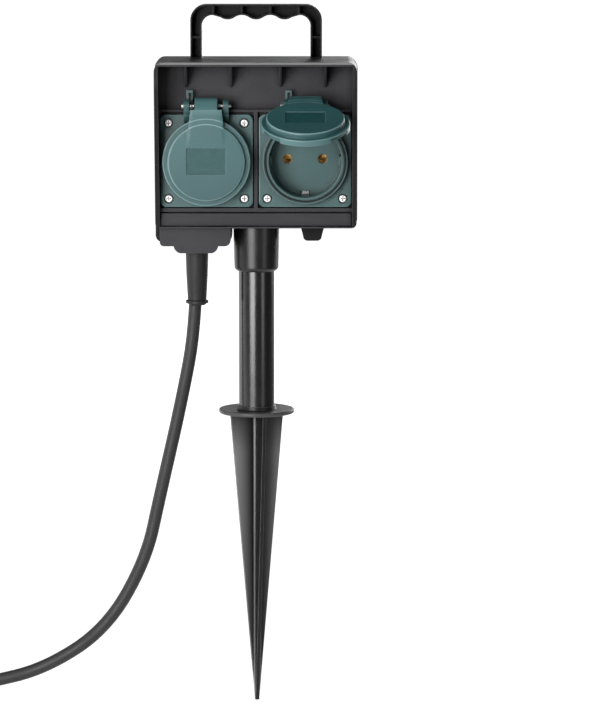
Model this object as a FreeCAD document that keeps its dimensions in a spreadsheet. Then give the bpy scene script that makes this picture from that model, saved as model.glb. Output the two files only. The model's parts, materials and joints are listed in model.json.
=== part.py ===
import FreeCAD, Part

import math
import os

import Sketcher
from FreeCAD import Placement, Rotation, Vector

# Garden socket spike: a hooded housing with two earthed sockets under spring lids,
# carried by a tube on a cross-bladed ground spike, with its own mains lead.
# Millimetres. X to the right, Y to the back, Z up. The origin is on the tube's axis at
# the underside of the ground flange, and the two housing shells part in the plane Y = 0.

VALUES = {
    # housing shells
    "bottom_border": 11.3,
    "hood_rise": 29.0,
    "hood_reach": 22.0,
    "side_border": 3.4,
    "shell_step": 0.3,
    "hood_draft": 0.7,
    "hood_slope_drop": 13.8,
    "lip_reach": 5.0,
    "housing_depth": 24.0,
    "wall": 2.2,
    "lip_wall": 0.9,
    "top_corner": 5.0,
    "bottom_corner": 3.0,
    "rim_reach": 0.5,
    "rim_above": 1.3,
    "rim_below": 1.9,
    "recess_gap_above": 1.3,
    "recess_gap_below": 0.5,
    "recess_beside": 0.55,
    "label_lift": 1.4,
    "label_strip": 6.6,
    "label_reach": 4.0,
    "bulkhead_thickness": 2.5,
    "gusset_height": 12.5,
    "gusset_thickness": 1.2,
    "gusset_inward": 13.2,
    "gusset_outward": 10.8,
    "gusset_setback": 4.0,
    "boss_radius": 3.3,
    "pilot_radius": 1.3,
    # cable compartment and lug under the frame
    "bay_inset": 3.0,
    "bay_drop": 9.8,
    "bump_drop": 3.8,
    "bay_right": 13.7,
    "bay_front": 20.9,
    "bump_half_top": 12.0,
    "bump_half_bottom": 8.6,
    "bay_back": 16.0,
    "bay_wall": 2.0,
    "bay_left_corner": 2.3,
    "bay_right_corner": 3.2,
    "bay_back_corner": 4.0,
    "bump_bend": 4.5,
    "lug_left": 23.65,
    "lug_right": 37.4,
    "lug_slant": 1.8,
    "lug_corner": 2.5,
    "lug_drop": 9.0,
    "lug_depth": 9.0,
    # handle
    "handle_half_width": 35.6,
    "handle_height": 29.0,
    "handle_depth": 10.0,
    "post_width": 6.2,
    "handle_corner": 8.5,
    "grip_pitch": 15.4,
    "grip_drop": 2.4,
    "grip_thickness": 5.7,
    "handle_rim": 0.9,
    "handle_floor": 1.3,
    "handle_rib": 1.0,
    "post_rib_height": 11.3,
    # sockets
    "plate_centre": 139.8,
    "plate_margin": 2.2,
    "plate_spacing": 3.0,
    "plate_corner": 3.0,
    "plate_front": 20.0,
    "plate_thickness": 2.4,
    "screw_inset": 4.65,
    "plate_sink_depth": 1.2,
    "collar_wall": 0.8,
    "collar_height": 5.5,
    "gasket_width": 0.9,
    "gasket_seat": 2.4,
    "ring_wall": 1.5,
    "ring_setback": 0.5,
    "cup_wall": 1.7,
    "seal_thickness": 0.6,
    "recess_radius": 19.6,
    "recess_depth": 17.5,
    "recess_floor": 2.5,
    "guide_rib_width": 5.0,
    "guide_rib_height": 1.4,
    "pin_pitch": 19.0,
    "earth_slot_width": 5.0,
    "carrier_step": 3.8,
    "carrier_length": 21.0,
    "contact_wall": 0.8,
    "contact_grip": 0.1,
    "pin_play": 0.2,
    "contact_length": 18.0,
    # hinges
    "hinge_rise": 5.0,
    "hinge_reach": 6.0,
    "pin_radius": 0.95,
    "pin_overhang": 1.5,
    "pin_head_radius": 1.5,
    "pin_head_length": 1.2,
    "ear_width": 3.0,
    "ear_inner": 9.0,
    "ear_radius": 3.3,
    "tab_left": 10.6,
    "tab_right": 7.2,
    "tab_rise": 8.0,
    "tab_slot": 1.6,
    "tab_slot_centre": 8.7,
    "barrel_radius": 4.5,
    "barrel_half_length": 6.0,
    "hinge_clearance": 0.05,
    "spring_play": 0.8,
    "spring_wire": 0.7,
    "spring_turns": 2.5,
    "spring_length": 2.0,
    "spring_start": 23.3,
    "spring_leg": 6.8,
    # lids
    "lid_inset": 2.0,
    "lid_overhang": 0.8,
    "lid_face": 6.5,
    "lid_flange_step": 2.9,
    "lid_skirt_edge": 0.4,
    "lid_wall": 1.5,
    "lid_skirt_wall": 0.7,
    "strap_half_top": 8.45,
    "strap_half_bottom": 9.55,
    "strap_thickness": 2.5,
    "label_width": 21.0,
    "label_height": 14.0,
    "label_depth": 0.4,
    "right_lid_open": 70.0,
    # tube and spike
    "sleeve_wall": 2.25,
    "sleeve_flare": 0.6,
    "sleeve_drop": 25.2,
    "sleeve_shoulder": 2.4,
    "sleeve_groove": 0.7,
    "sleeve_lip": 0.5,
    "sleeve_round": 2.5,
    "tube_radius": 9.75,
    "tube_wall": 1.55,
    "tube_engagement": 3.5,
    "tube_fit": 0.1,
    "flange_radius": 20.6,
    "flange_thickness": 2.3,
    "foot_collar_wall": 0.9,
    "foot_collar_height": 1.9,
    "spigot_length": 30.0,
    "spike_length": 161.0,
    "blade_reach": 15.0,
    "blade_thickness": 2.0,
    "blade_tip": 0.9,
    "blade_root_fillet": 1.3,
    "spike_turn": 17.7,
    # lead
    "relief_length": 30.4,
    "relief_wall": 1.6,
    "relief_swell": 0.75,
    "relief_flare": 1.1,
    "relief_ring": 1.05,
    "gland_wall": 1.4,
    "relief_offset": 32.4,
    "cord_inside": 4.5,
    "cord_diameter": 7.0,
    "coil_radius": 44.5,
    "coil_step": 7.8,
    "coil_start": 200.0,
    "coil_lift": 4.5,
    "tie_width": 6.0,
    "tie_thickness": 0.6,
    "tie_gap": 0.4,
    "plug_radius": 18.4,
    "plug_length": 38.0,
    "plug_run": 36.0,
    "plug_pin_radius": 2.4,
    "plug_pin_length": 19.0,
    "plug_groove_width": 6.6,
    # fits
    "seat_gap": 0.1,
    "press_gap": 0.05,
    "sink_play": 0.7,
    "screw_head_radius": 2.05,
    "screw_head_length": 1.5,
    "shank_play": 0.35,
    "screw_shank_radius": 1.25,
    "screw_length": 11.0,
    "cover_screw_radius": 1.5,
    "cover_screw_head": 2.9,
    "cover_screw_sink": 3.4,
}

doc = FreeCAD.newDocument("garden_socket_spike")
sheet = doc.addObject("Spreadsheet::Sheet", "Sizes")
for row, (alias, number) in enumerate(VALUES.items(), start=1):
    sheet.set(f"A{row}", alias)
    sheet.set(f"B{row}", str(number))
    sheet.setAlias(f"B{row}", alias)
doc.recompute()


class Size:
    """A number together with the spreadsheet expression that gives it."""

    def __init__(self, value, text):
        self.value = float(value)
        self.text = text

    def joined(self, other, sign, value):
        return Size(value, f"({self.text} {sign} {as_size(other).text})")

    def __add__(self, other):
        return self.joined(other, "+", self.value + as_size(other).value)

    def __sub__(self, other):
        return self.joined(other, "-", self.value - as_size(other).value)

    def __mul__(self, other):
        return self.joined(other, "*", self.value * as_size(other).value)

    def __truediv__(self, other):
        return self.joined(other, "/", self.value / as_size(other).value)

    def __radd__(self, other):
        return as_size(other) + self

    def __rsub__(self, other):
        return as_size(other) - self

    def __rmul__(self, other):
        return as_size(other) * self

    def __neg__(self):
        return Size(-self.value, f"(0 - {self.text})")


def as_size(number):
    return number if isinstance(number, Size) else Size(number, repr(float(number)))


def cosine(degrees):
    return Size(math.cos(math.radians(degrees.value)), f"cos({degrees.text})")


def sine(degrees):
    return Size(math.sin(math.radians(degrees.value)), f"sin({degrees.text})")


class Cells:
    """Gives each spreadsheet cell as a Size, by its alias."""

    def __getattr__(self, alias):
        return Size(sheet.get(alias), f"Sizes.{alias}")


of = Cells()
ZERO = as_size(0)
nodes = []

# Sizes that follow from the ones above by a wall, a border or a clearance.
ring_outer = of.recess_radius + of.ring_wall
collar_inner = ring_outer + of.gasket_width
collar_radius = collar_inner + of.collar_wall
cup_radius = of.recess_radius + of.cup_wall
carrier_radius = cup_radius - of.carrier_step
plate_side = 2 * (collar_radius + of.plate_margin)
plate_hole = plate_side / 2 - of.screw_inset
plate_screw_hole = of.screw_shank_radius + of.shank_play
plate_sink_radius = of.screw_head_radius + of.sink_play
socket_pitch = plate_side + of.plate_spacing
back_half_width = socket_pitch / 2 + plate_side / 2 + of.side_border
parting_half_width = back_half_width - of.shell_step
hood_half_width = parting_half_width - of.hood_draft
frame_bottom = of.plate_centre - plate_side / 2 - of.bottom_border
housing_top = of.plate_centre + plate_side / 2 + of.hood_rise
hood_slope_top = housing_top - of.hood_slope_drop
recess_above = plate_side / 2 + of.recess_gap_above
recess_below = plate_side / 2 + of.recess_gap_below
rim_top_height = recess_above + of.rim_above
rim_bottom_height = recess_below + of.rim_below
centre_rim = of.plate_spacing - 2 * of.recess_beside
bulkhead_front = of.plate_front - of.plate_thickness - of.seal_thickness
rim_front = of.plate_front + of.rim_reach
lip_front = bulkhead_front + of.lip_reach
hood_front = of.plate_front + of.hood_reach
label_front = bulkhead_front + of.label_reach
label_bottom = frame_bottom + of.label_lift
label_top = label_bottom + of.label_strip
gusset_inner = socket_pitch / 2 - of.gusset_inward
gusset_outer = socket_pitch / 2 + of.gusset_outward
gusset_reach = hood_front - bulkhead_front - of.gusset_setback
bay_left = back_half_width - of.bay_inset
bay_bottom = frame_bottom - of.bay_drop
bump_bottom = bay_bottom - of.bump_drop
lug_bottom = frame_bottom - of.lug_drop
gasket_floor = of.plate_front + of.gasket_seat
collar_front = of.plate_front + of.collar_height
ring_front = collar_front - of.ring_setback
pin_hole = of.plug_pin_radius + of.pin_play
contact_inner = of.plug_pin_radius - of.contact_grip
contact_outer = contact_inner + of.contact_wall
hinge_height = plate_side / 2 + of.hinge_rise
hinge_front = of.plate_front + of.hinge_reach
ear_outer = of.ear_inner + of.ear_width
pin_half_length = ear_outer + of.pin_overhang
tab_top = hinge_height + of.tab_rise
spring_radius = of.pin_radius + of.spring_wire / 2 + of.spring_play
lid_radius = collar_radius - of.lid_inset
lid_flange_radius = collar_radius + of.lid_overhang
tube_bore = of.tube_radius - of.tube_wall
tube_top = frame_bottom + of.tube_engagement
sleeve_foot_radius = of.tube_radius + of.sleeve_wall
sleeve_radius = sleeve_foot_radius + of.sleeve_flare
sleeve_collar = sleeve_radius + of.sleeve_shoulder
sleeve_neck = sleeve_radius - of.sleeve_groove
sleeve_bottom = frame_bottom - of.sleeve_drop
foot_collar = of.tube_radius + of.foot_collar_wall
relief_end = bump_bottom - of.relief_length
relief_low_radius = of.cord_diameter / 2 + of.relief_wall
relief_mid_radius = relief_low_radius + of.relief_swell
relief_top_radius = relief_low_radius + of.relief_flare
relief_ring_radius = relief_low_radius + of.relief_ring
gland_neck = of.cord_diameter / 2 + of.gland_wall
cord_top = frame_bottom - of.cord_inside


def bind(thing, path, size):
    thing.setExpression(path, as_size(size).text)


def new_body(label):
    body = doc.addObject("PartDesign::Body", label)
    body.Label = label
    nodes.append(body)
    return body


def origin_plane(body, role):
    return next(f for f in body.Origin.OriginFeatures if f.Role == role)


def new_sketch(body, role, name, lift=0):
    """A sketch on one of the body's origin planes, lifted along the plane's normal."""
    sketch = body.newObject("Sketcher::SketchObject", name)
    sketch.AttachmentSupport = [(origin_plane(body, role), "")]
    sketch.MapMode = "FlatFace"
    bind(sketch, "AttachmentOffset.Base.z", lift)
    return sketch


def pin_point(sketch, geometry, point, x, y):
    for kind, size in (("DistanceX", as_size(x)), ("DistanceY", as_size(y))):
        index = sketch.addConstraint(Sketcher.Constraint(kind, geometry, point, size.value))
        sketch.setExpression(f"Constraints[{index}]", size.text)


def draw_outline(sketch, points):
    """A closed outline. A point is (x, y) or (x, y, radius): with a radius, the side that
    leaves it is an arc, to the left of its chord when the radius is positive."""
    count = len(points)
    corners = [Vector(as_size(p[0]).value, as_size(p[1]).value, 0) for p in points]
    ends = []
    for i, point in enumerate(points):
        start, end = corners[i], corners[(i + 1) % count]
        if len(point) == 2:
            geometry = sketch.addGeometry(Part.LineSegment(start, end))
            ends.append((geometry, 1, 2))
            continue
        radius = as_size(point[2])
        chord = end - start
        side = 1 if radius.value > 0 else -1
        across = Vector(-chord.y, chord.x, 0).normalize()
        rise = math.sqrt(radius.value**2 - (chord.Length / 2) ** 2)
        centre = (start + end) * 0.5 - across * (side * rise)
        circle = Part.Circle(centre, Vector(0, 0, 1), abs(radius.value))
        first, last = (end, start) if side > 0 else (start, end)
        turn = [math.atan2(p.y - centre.y, p.x - centre.x) for p in (first, last)]
        geometry = sketch.addGeometry(Part.ArcOfCircle(circle, turn[0], turn[1]))
        ends.append((geometry, 2, 1) if side > 0 else (geometry, 1, 2))
    for i in range(count):
        here, after = ends[i], ends[(i + 1) % count]
        sketch.addConstraint(Sketcher.Constraint("Coincident", here[0], here[2], after[0], after[1]))
    for i, point in enumerate(points):
        pin_point(sketch, ends[i][0], ends[i][1], point[0], point[1])
    for i, point in enumerate(points):
        if len(point) == 3:
            size = as_size(point[2])
            size = size if size.value > 0 else -size
            index = sketch.addConstraint(Sketcher.Constraint("Radius", ends[i][0], size.value))
            sketch.setExpression(f"Constraints[{index}]", size.text)


def draw_circle(sketch, x, y, radius):
    x, y, radius = as_size(x), as_size(y), as_size(radius)
    centre = Vector(x.value, y.value, 0)
    geometry = sketch.addGeometry(Part.Circle(centre, Vector(0, 0, 1), radius.value))
    pin_point(sketch, geometry, 3, x, y)
    index = sketch.addConstraint(Sketcher.Constraint("Radius", geometry, radius.value))
    sketch.setExpression(f"Constraints[{index}]", radius.text)


def draw_circles(sketch, places, radius):
    for x, z in places:
        draw_circle(sketch, x, z, radius)


def box_points(left, right, bottom, top):
    return [(left, bottom), (right, bottom), (right, top), (left, top)]


def round_box_points(left, right, bottom, top, low_radius, high_radius):
    return [
        (left + low_radius, bottom), (right - low_radius, bottom, -low_radius),
        (right, bottom + low_radius), (right, top - high_radius, -high_radius),
        (right - high_radius, top), (left + high_radius, top, -high_radius),
        (left, top - high_radius), (left, bottom + low_radius, -low_radius),
    ]


def extrude(body, kind, sketch, length, backwards=False, both=False):
    feature = body.newObject(f"PartDesign::{kind}", f"{sketch.Name}_{kind}")
    feature.Profile = sketch
    bind(feature, "Length", length)
    feature.Reversed = backwards
    if both:
        feature.SideType = "Symmetric"
    doc.recompute()
    if "Invalid" in feature.State or not feature.Shape.isValid():
        raise RuntimeError(f"{feature.Name} did not build on {body.Label}")
    return feature


def pad_front(body, name, front, back, draw):
    """A pad between two depths, drawn in the front view. Depths are measured forwards."""
    sketch = new_sketch(body, "XZ_Plane", name, back)
    draw(sketch)
    return extrude(body, "Pad", sketch, as_size(front) - back)


def cut_front(body, name, front, back, draw):
    """A pocket between two depths, drawn in the front view."""
    sketch = new_sketch(body, "XZ_Plane", name, front)
    draw(sketch)
    volume = body.Shape.Volume
    feature = extrude(body, "Pocket", sketch, as_size(front) - back)
    must_shrink(body, volume, name)
    return feature


def must_shrink(body, volume, name):
    if not body.Shape.Volume < volume - 1e-6:
        raise RuntimeError(f"{name} removed nothing from {body.Label}")


def turned(body, kind, role, name, points, axis="V_Axis"):
    sketch = new_sketch(body, role, name)
    draw_outline(sketch, points)
    feature = body.newObject(f"PartDesign::{kind}", f"{name}_{kind}")
    feature.Profile = sketch
    feature.ReferenceAxis = (sketch, [axis])
    feature.Angle = 360
    doc.recompute()
    if "Invalid" in feature.State or not feature.Shape.isValid():
        raise RuntimeError(f"{name} did not build on {body.Label}")
    return feature


def edges_where(feature, test):
    return [f"Edge{i}" for i, edge in enumerate(feature.Shape.Edges, start=1) if test(edge)]


def dress(body, kind, feature, test, size, name):
    """A fillet or chamfer on the edges of a feature that pass a test."""
    found = edges_where(feature, test)
    if not found:
        raise RuntimeError(f"{name} finds no edge on {body.Label}")
    dressed = body.newObject(f"PartDesign::{kind}", name)
    dressed.Base = (feature, found)
    bind(dressed, "Radius" if kind == "Fillet" else "Size", size)
    doc.recompute()
    if "Invalid" in dressed.State or not dressed.Shape.isValid():
        raise RuntimeError(f"{name} did not build on {body.Label}")
    return dressed


def along(edge, direction):
    """Whether an edge runs straight in a direction, to within a mould's draft."""
    if len(edge.Vertexes) != 2:
        return False
    run = edge.Vertexes[1].Point - edge.Vertexes[0].Point
    return edge.Length < 1.001 * run.Length and run.cross(direction).Length < 0.05 * run.Length


def touches(edge, x=None, y=None, z=None):
    """Whether the middle of an edge lies at the given coordinates."""
    middle = edge.BoundBox.Center
    wanted = ((middle.x, x), (middle.y, y), (middle.z, z))
    return all(goal is None or abs(value - as_size(goal).value) < 0.6 for value, goal in wanted)


DEPTH_AXIS = Vector(0, 1, 0)
WIDTH_AXIS = Vector(1, 0, 0)
HEIGHT_AXIS = Vector(0, 0, 1)
SIDES = (("left", -1), ("right", 1))


def socket_x(sign):
    return as_size(sign) * socket_pitch / 2


def screw_places():
    """The eight plate screws, as (x, z) in the front view."""
    for side, sign in SIDES:
        for across in (-1, 1):
            for up in (-1, 1):
                yield socket_x(sign) + across * plate_hole, of.plate_centre + up * plate_hole


def cover_screw_places():
    """The four cover screws, as (x, z) in the front view."""
    low = frame_bottom + 6.5
    high = housing_top - 7.0
    for across in (-1, 1):
        yield across * (hood_half_width - 7.2), high
        yield across * (hood_half_width - 7.2), low


def bay_outline(sketch, top, shrink):
    """The cable compartment seen from the front, or its inside when shrunk by a wall."""
    left, right = -bay_left + shrink, -of.bay_right - shrink
    low, bump = bay_bottom + shrink, bump_bottom + shrink
    wide, narrow = of.bump_half_top - shrink, of.bump_half_bottom - shrink
    middle = -of.relief_offset
    turn, far_turn = of.bay_left_corner - shrink, of.bay_right_corner - shrink
    draw_outline(sketch, [
        (left, low + turn, -turn), (left + turn, low), (middle - wide, low, -of.bump_bend),
        (middle - narrow, bump), (middle + narrow, bump, -of.bump_bend), (middle + wide, low),
        (right - far_turn, low, -far_turn), (right, low + far_turn), (right, top), (left, top),
    ])


def drafted_block(body, name, ends):
    """A block with rounded corners whose width changes between two depths."""
    profiles = []
    for end, depth, half in ends:
        sketch = new_sketch(body, "XZ_Plane", end, depth)
        draw_outline(sketch, round_box_points(-half, half, frame_bottom, housing_top,
                                              of.bottom_corner, of.top_corner))
        profiles.append(sketch)
    loft = body.newObject("PartDesign::AdditiveLoft", name)
    loft.Profile = profiles[0]
    loft.Sections = profiles[1:]
    loft.Ruled = True
    doc.recompute()
    return loft


def make_front_shell():
    body = new_body("front_shell")
    drafted_block(body, "shell_loft", (("shell_parting", ZERO, parting_half_width),
                                       ("shell_front", hood_front, hood_half_width)))
    slope = new_sketch(body, "YZ_Plane", "hood_slope")
    draw_outline(slope, [
        (-hood_front, hood_slope_top), (-lip_front, frame_bottom),
        (-lip_front, frame_bottom - 5), (-hood_front - 5, frame_bottom - 5),
        (-hood_front - 5, hood_slope_top),
    ])
    volume = body.Shape.Volume
    extrude(body, "Pocket", slope, 4 * parting_half_width, both=True)
    must_shrink(body, volume, "hood_slope")
    inner = hood_half_width - of.wall
    cut_front(body, "hood_cavity", hood_front, bulkhead_front, lambda s: draw_outline(
        s, box_points(-inner, inner, frame_bottom + of.lip_wall, housing_top - of.wall)))
    rear = parting_half_width - of.wall
    cut_front(body, "rear_cavity", bulkhead_front - of.bulkhead_thickness, ZERO,
              lambda s: draw_outline(s, box_points(-rear, rear, frame_bottom + of.wall,
                                                   housing_top - of.wall)))
    low_rim = of.plate_centre - rim_bottom_height
    pad_front(body, "rim", rim_front, bulkhead_front, lambda s: draw_outline(
        s, box_points(-inner - 0.5, inner + 0.5, low_rim, of.plate_centre + rim_top_height)))
    low, high = of.plate_centre - recess_below, of.plate_centre + recess_above
    cut_front(body, "recesses", rim_front + 0.2, bulkhead_front, lambda s: (
        draw_outline(s, box_points(-inner, -centre_rim / 2, low, high)),
        draw_outline(s, box_points(centre_rim / 2, inner, low, high))))
    centres = [(socket_x(sign), of.plate_centre) for side, sign in SIDES]
    cut_front(body, "socket_holes", bulkhead_front + 1,
              bulkhead_front - of.bulkhead_thickness - 1,
              lambda s: draw_circles(s, centres, cup_radius + 2 * of.seat_gap))
    panel = hood_half_width - of.wall - 0.4
    pad_front(body, "label_panel", label_front, bulkhead_front, lambda s: draw_outline(
        s, box_points(-panel, panel, label_bottom, label_top)))
    under = housing_top - of.wall
    for count, place in enumerate((-gusset_outer, -gusset_inner, gusset_inner,
                                   gusset_outer)):
        sketch = new_sketch(body, "YZ_Plane", f"gusset_{count}", place)
        draw_outline(sketch, [
            (-bulkhead_front + 0.5, under + 0.5),
            (-bulkhead_front - gusset_reach, under + 0.5),
            (-bulkhead_front, under - of.gusset_height),
            (-bulkhead_front + 0.5, under - of.gusset_height),
        ])
        extrude(body, "Pad", sketch, of.gusset_thickness, both=True)
    back = bulkhead_front - of.bulkhead_thickness
    pad_front(body, "plate_bosses", back + 0.5, back - 8.5,
              lambda s: draw_circles(s, screw_places(), of.boss_radius))
    pad_front(body, "cover_bosses", back + 0.5, of.seat_gap,
              lambda s: draw_circles(s, cover_screw_places(), of.boss_radius + 0.3))
    cut_front(body, "plate_pilots", bulkhead_front + 0.2, back - 8.6,
              lambda s: draw_circles(s, screw_places(), of.screw_shank_radius + of.press_gap))
    cut_front(body, "cover_pilots", back - 1.0, ZERO,
              lambda s: draw_circles(s, cover_screw_places(), of.cover_screw_radius + of.press_gap))
    pad_front(body, "bay", of.bay_front, ZERO,
              lambda s: bay_outline(s, frame_bottom + 0.4, ZERO))
    cut_front(body, "bay_inside", of.bay_front - of.bay_wall, ZERO,
              lambda s: bay_outline(s, frame_bottom + of.wall + 0.2, of.bay_wall))
    neck_hole(body, "relief_neck_hole", -of.relief_offset, gland_neck, bump_bottom - 1)
    neck_hole(body, "sleeve_neck_hole", ZERO, sleeve_neck, frame_bottom - 1)
    return body


def neck_hole(body, name, x, radius, bottom):
    """An upright round hole through a floor, for a neck that both shells close round."""
    sketch = new_sketch(body, "XY_Plane", name, bottom)
    draw_circle(sketch, x, ZERO, radius + of.seat_gap)
    volume = body.Shape.Volume
    extrude(body, "Pocket", sketch, of.wall + 3.2, backwards=True)
    must_shrink(body, volume, name)


def grip_edge(rim):
    """The underside of the grip, right to left, as arcs that swell between the fingers."""
    middle = housing_top + of.handle_height - of.grip_thickness - of.grip_drop / 2
    quarter = of.grip_pitch / 4
    rise = of.grip_drop / 2
    radius = (quarter * quarter + rise * rise) / (2 * rise)
    lean_x = rim * quarter / radius
    lean_z = rim * (radius - rise) / radius
    points = []
    for step in range(5, -7, -2):
        x = step * quarter
        toward_bump = (step % 4) == 1
        side = 1 if toward_bump else -1
        bend = (radius - rim) if toward_bump else -(radius + rim)
        points.append((x - side * lean_x, middle + lean_z, bend))
    last = points.pop()
    points.append((last[0], last[1]))
    return points


def handle_outline(rim, foot):
    """The handle seen from the front, clockwise from the left foot, inset by a rim."""
    out = of.handle_half_width - rim
    inn = of.handle_half_width - of.post_width + rim
    top = housing_top + of.handle_height - rim
    crest = housing_top + of.handle_height - of.grip_thickness + rim
    bend = of.handle_corner - rim
    shoulder = of.handle_corner - of.post_width + rim + 3.6
    grip = grip_edge(rim)
    return [
        (-out, foot), (-out, top - bend, bend), (-out + bend, top), (out - bend, top, bend),
        (out, top - bend), (out, foot), (inn, foot), (inn, crest - shoulder, -shoulder),
        (inn - shoulder, crest), *grip, (-inn + shoulder, crest, -shoulder),
        (-inn, crest - shoulder), (-inn, foot),
    ]


def make_rear_cover():
    body = new_body("rear_cover")
    half = back_half_width
    block = pad_front(body, "cover_block", ZERO, -of.housing_depth, lambda s: draw_outline(
        s, round_box_points(-half, half, frame_bottom, housing_top, of.bottom_corner,
                            of.top_corner)))
    dress(body, "Fillet", block, lambda e: abs(e.BoundBox.YMin - of.housing_depth.value) < 0.05,
          of.wall, "cover_back_edge")
    inner = back_half_width - of.wall
    cut_front(body, "cover_cavity", ZERO, -of.housing_depth + of.wall, lambda s: draw_outline(
        s, box_points(-inner, inner, frame_bottom + of.wall, housing_top - of.wall)))
    bay = [
        (-back_half_width, bay_bottom + of.bay_back_corner, -of.bay_back_corner),
        (-back_half_width + of.bay_back_corner, bay_bottom),
        (-of.bay_right + 0.5 - of.bay_back_corner, bay_bottom, -of.bay_back_corner),
        (-of.bay_right + 0.5, bay_bottom + of.bay_back_corner),
        (-of.bay_right + 0.5, frame_bottom + 0.4),
        (-back_half_width, frame_bottom + 0.4),
    ]
    pad_front(body, "cover_bay", ZERO, -of.bay_back, lambda s: draw_outline(s, bay))
    pad_front(body, "cover_bump", ZERO, -relief_mid_radius - of.bay_wall,
              lambda s: bay_outline(s, frame_bottom, ZERO))
    cut_front(body, "cover_bay_inside", ZERO, -of.bay_back + of.bay_wall, lambda s: draw_outline(
        s, box_points(-bay_left + of.bay_wall, -of.bay_right - of.bay_wall,
                      bay_bottom + of.bay_wall, frame_bottom + of.wall + 0.2)))
    near, far, bend = of.lug_left + of.lug_slant, of.lug_right - of.lug_slant, of.lug_corner
    pad_front(body, "lug", ZERO, -of.lug_depth, lambda s: draw_outline(s, [
        (of.lug_left, frame_bottom + 0.4), (near, lug_bottom + bend, -bend),
        (near + bend, lug_bottom), (far - bend, lug_bottom, -bend), (far, lug_bottom + bend),
        (of.lug_right, frame_bottom + 0.4)]))
    foot = housing_top - of.wall / 2
    pad_front(body, "handle", ZERO, -of.handle_depth,
              lambda s: draw_outline(s, handle_outline(ZERO, foot)))
    cut_front(body, "handle_channel", ZERO, -of.handle_depth + of.handle_floor,
              lambda s: draw_outline(s, handle_outline(of.handle_rim, housing_top + 0.6)))
    half = of.handle_rib / 2
    crest = housing_top + of.handle_height - of.grip_thickness
    reach = of.post_width / 2 - 0.3
    post = of.handle_half_width - of.post_width / 2
    level = housing_top + of.post_rib_height
    ribs = [box_points(step * of.grip_pitch / 2 - half, step * of.grip_pitch / 2 + half,
                       crest + 0.3, housing_top + of.handle_height - 0.4)
            for step in (-3, -1, 1, 3)]
    ribs += [box_points(sign * post - reach, sign * post + reach, level - half, level + half)
             for side, sign in SIDES]
    pad_front(body, "handle_ribs", as_size(-0.5), -of.handle_depth + 0.4,
              lambda s: [draw_outline(s, rib) for rib in ribs])
    pad_front(body, "cover_tubes", -of.seat_gap, -of.housing_depth + 0.5,
              lambda s: draw_circles(s, cover_screw_places(), of.boss_radius + 0.8))
    cut_front(body, "cover_holes", ZERO, -of.housing_depth - 0.5,
              lambda s: draw_circles(s, cover_screw_places(), of.cover_screw_radius + 0.3))
    cut_front(body, "cover_sinks", -of.housing_depth + of.cover_screw_sink,
              -of.housing_depth - 0.5,
              lambda s: draw_circles(s, cover_screw_places(), of.cover_screw_head + 0.3))
    neck_hole(body, "cover_relief_hole", -of.relief_offset, gland_neck, bump_bottom - 1)
    neck_hole(body, "cover_relief_seat", -of.relief_offset, relief_top_radius + 0.3,
              bump_bottom + of.bay_wall)
    neck_hole(body, "cover_sleeve_hole", ZERO, sleeve_neck, frame_bottom - 1)
    return body


def pin_places():
    return [(-of.pin_pitch / 2, ZERO), (of.pin_pitch / 2, ZERO)]


def place_at_socket(body, sign):
    bind(body, "Placement.Base.x", socket_x(sign))
    bind(body, "Placement.Base.z", of.plate_centre)


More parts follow.
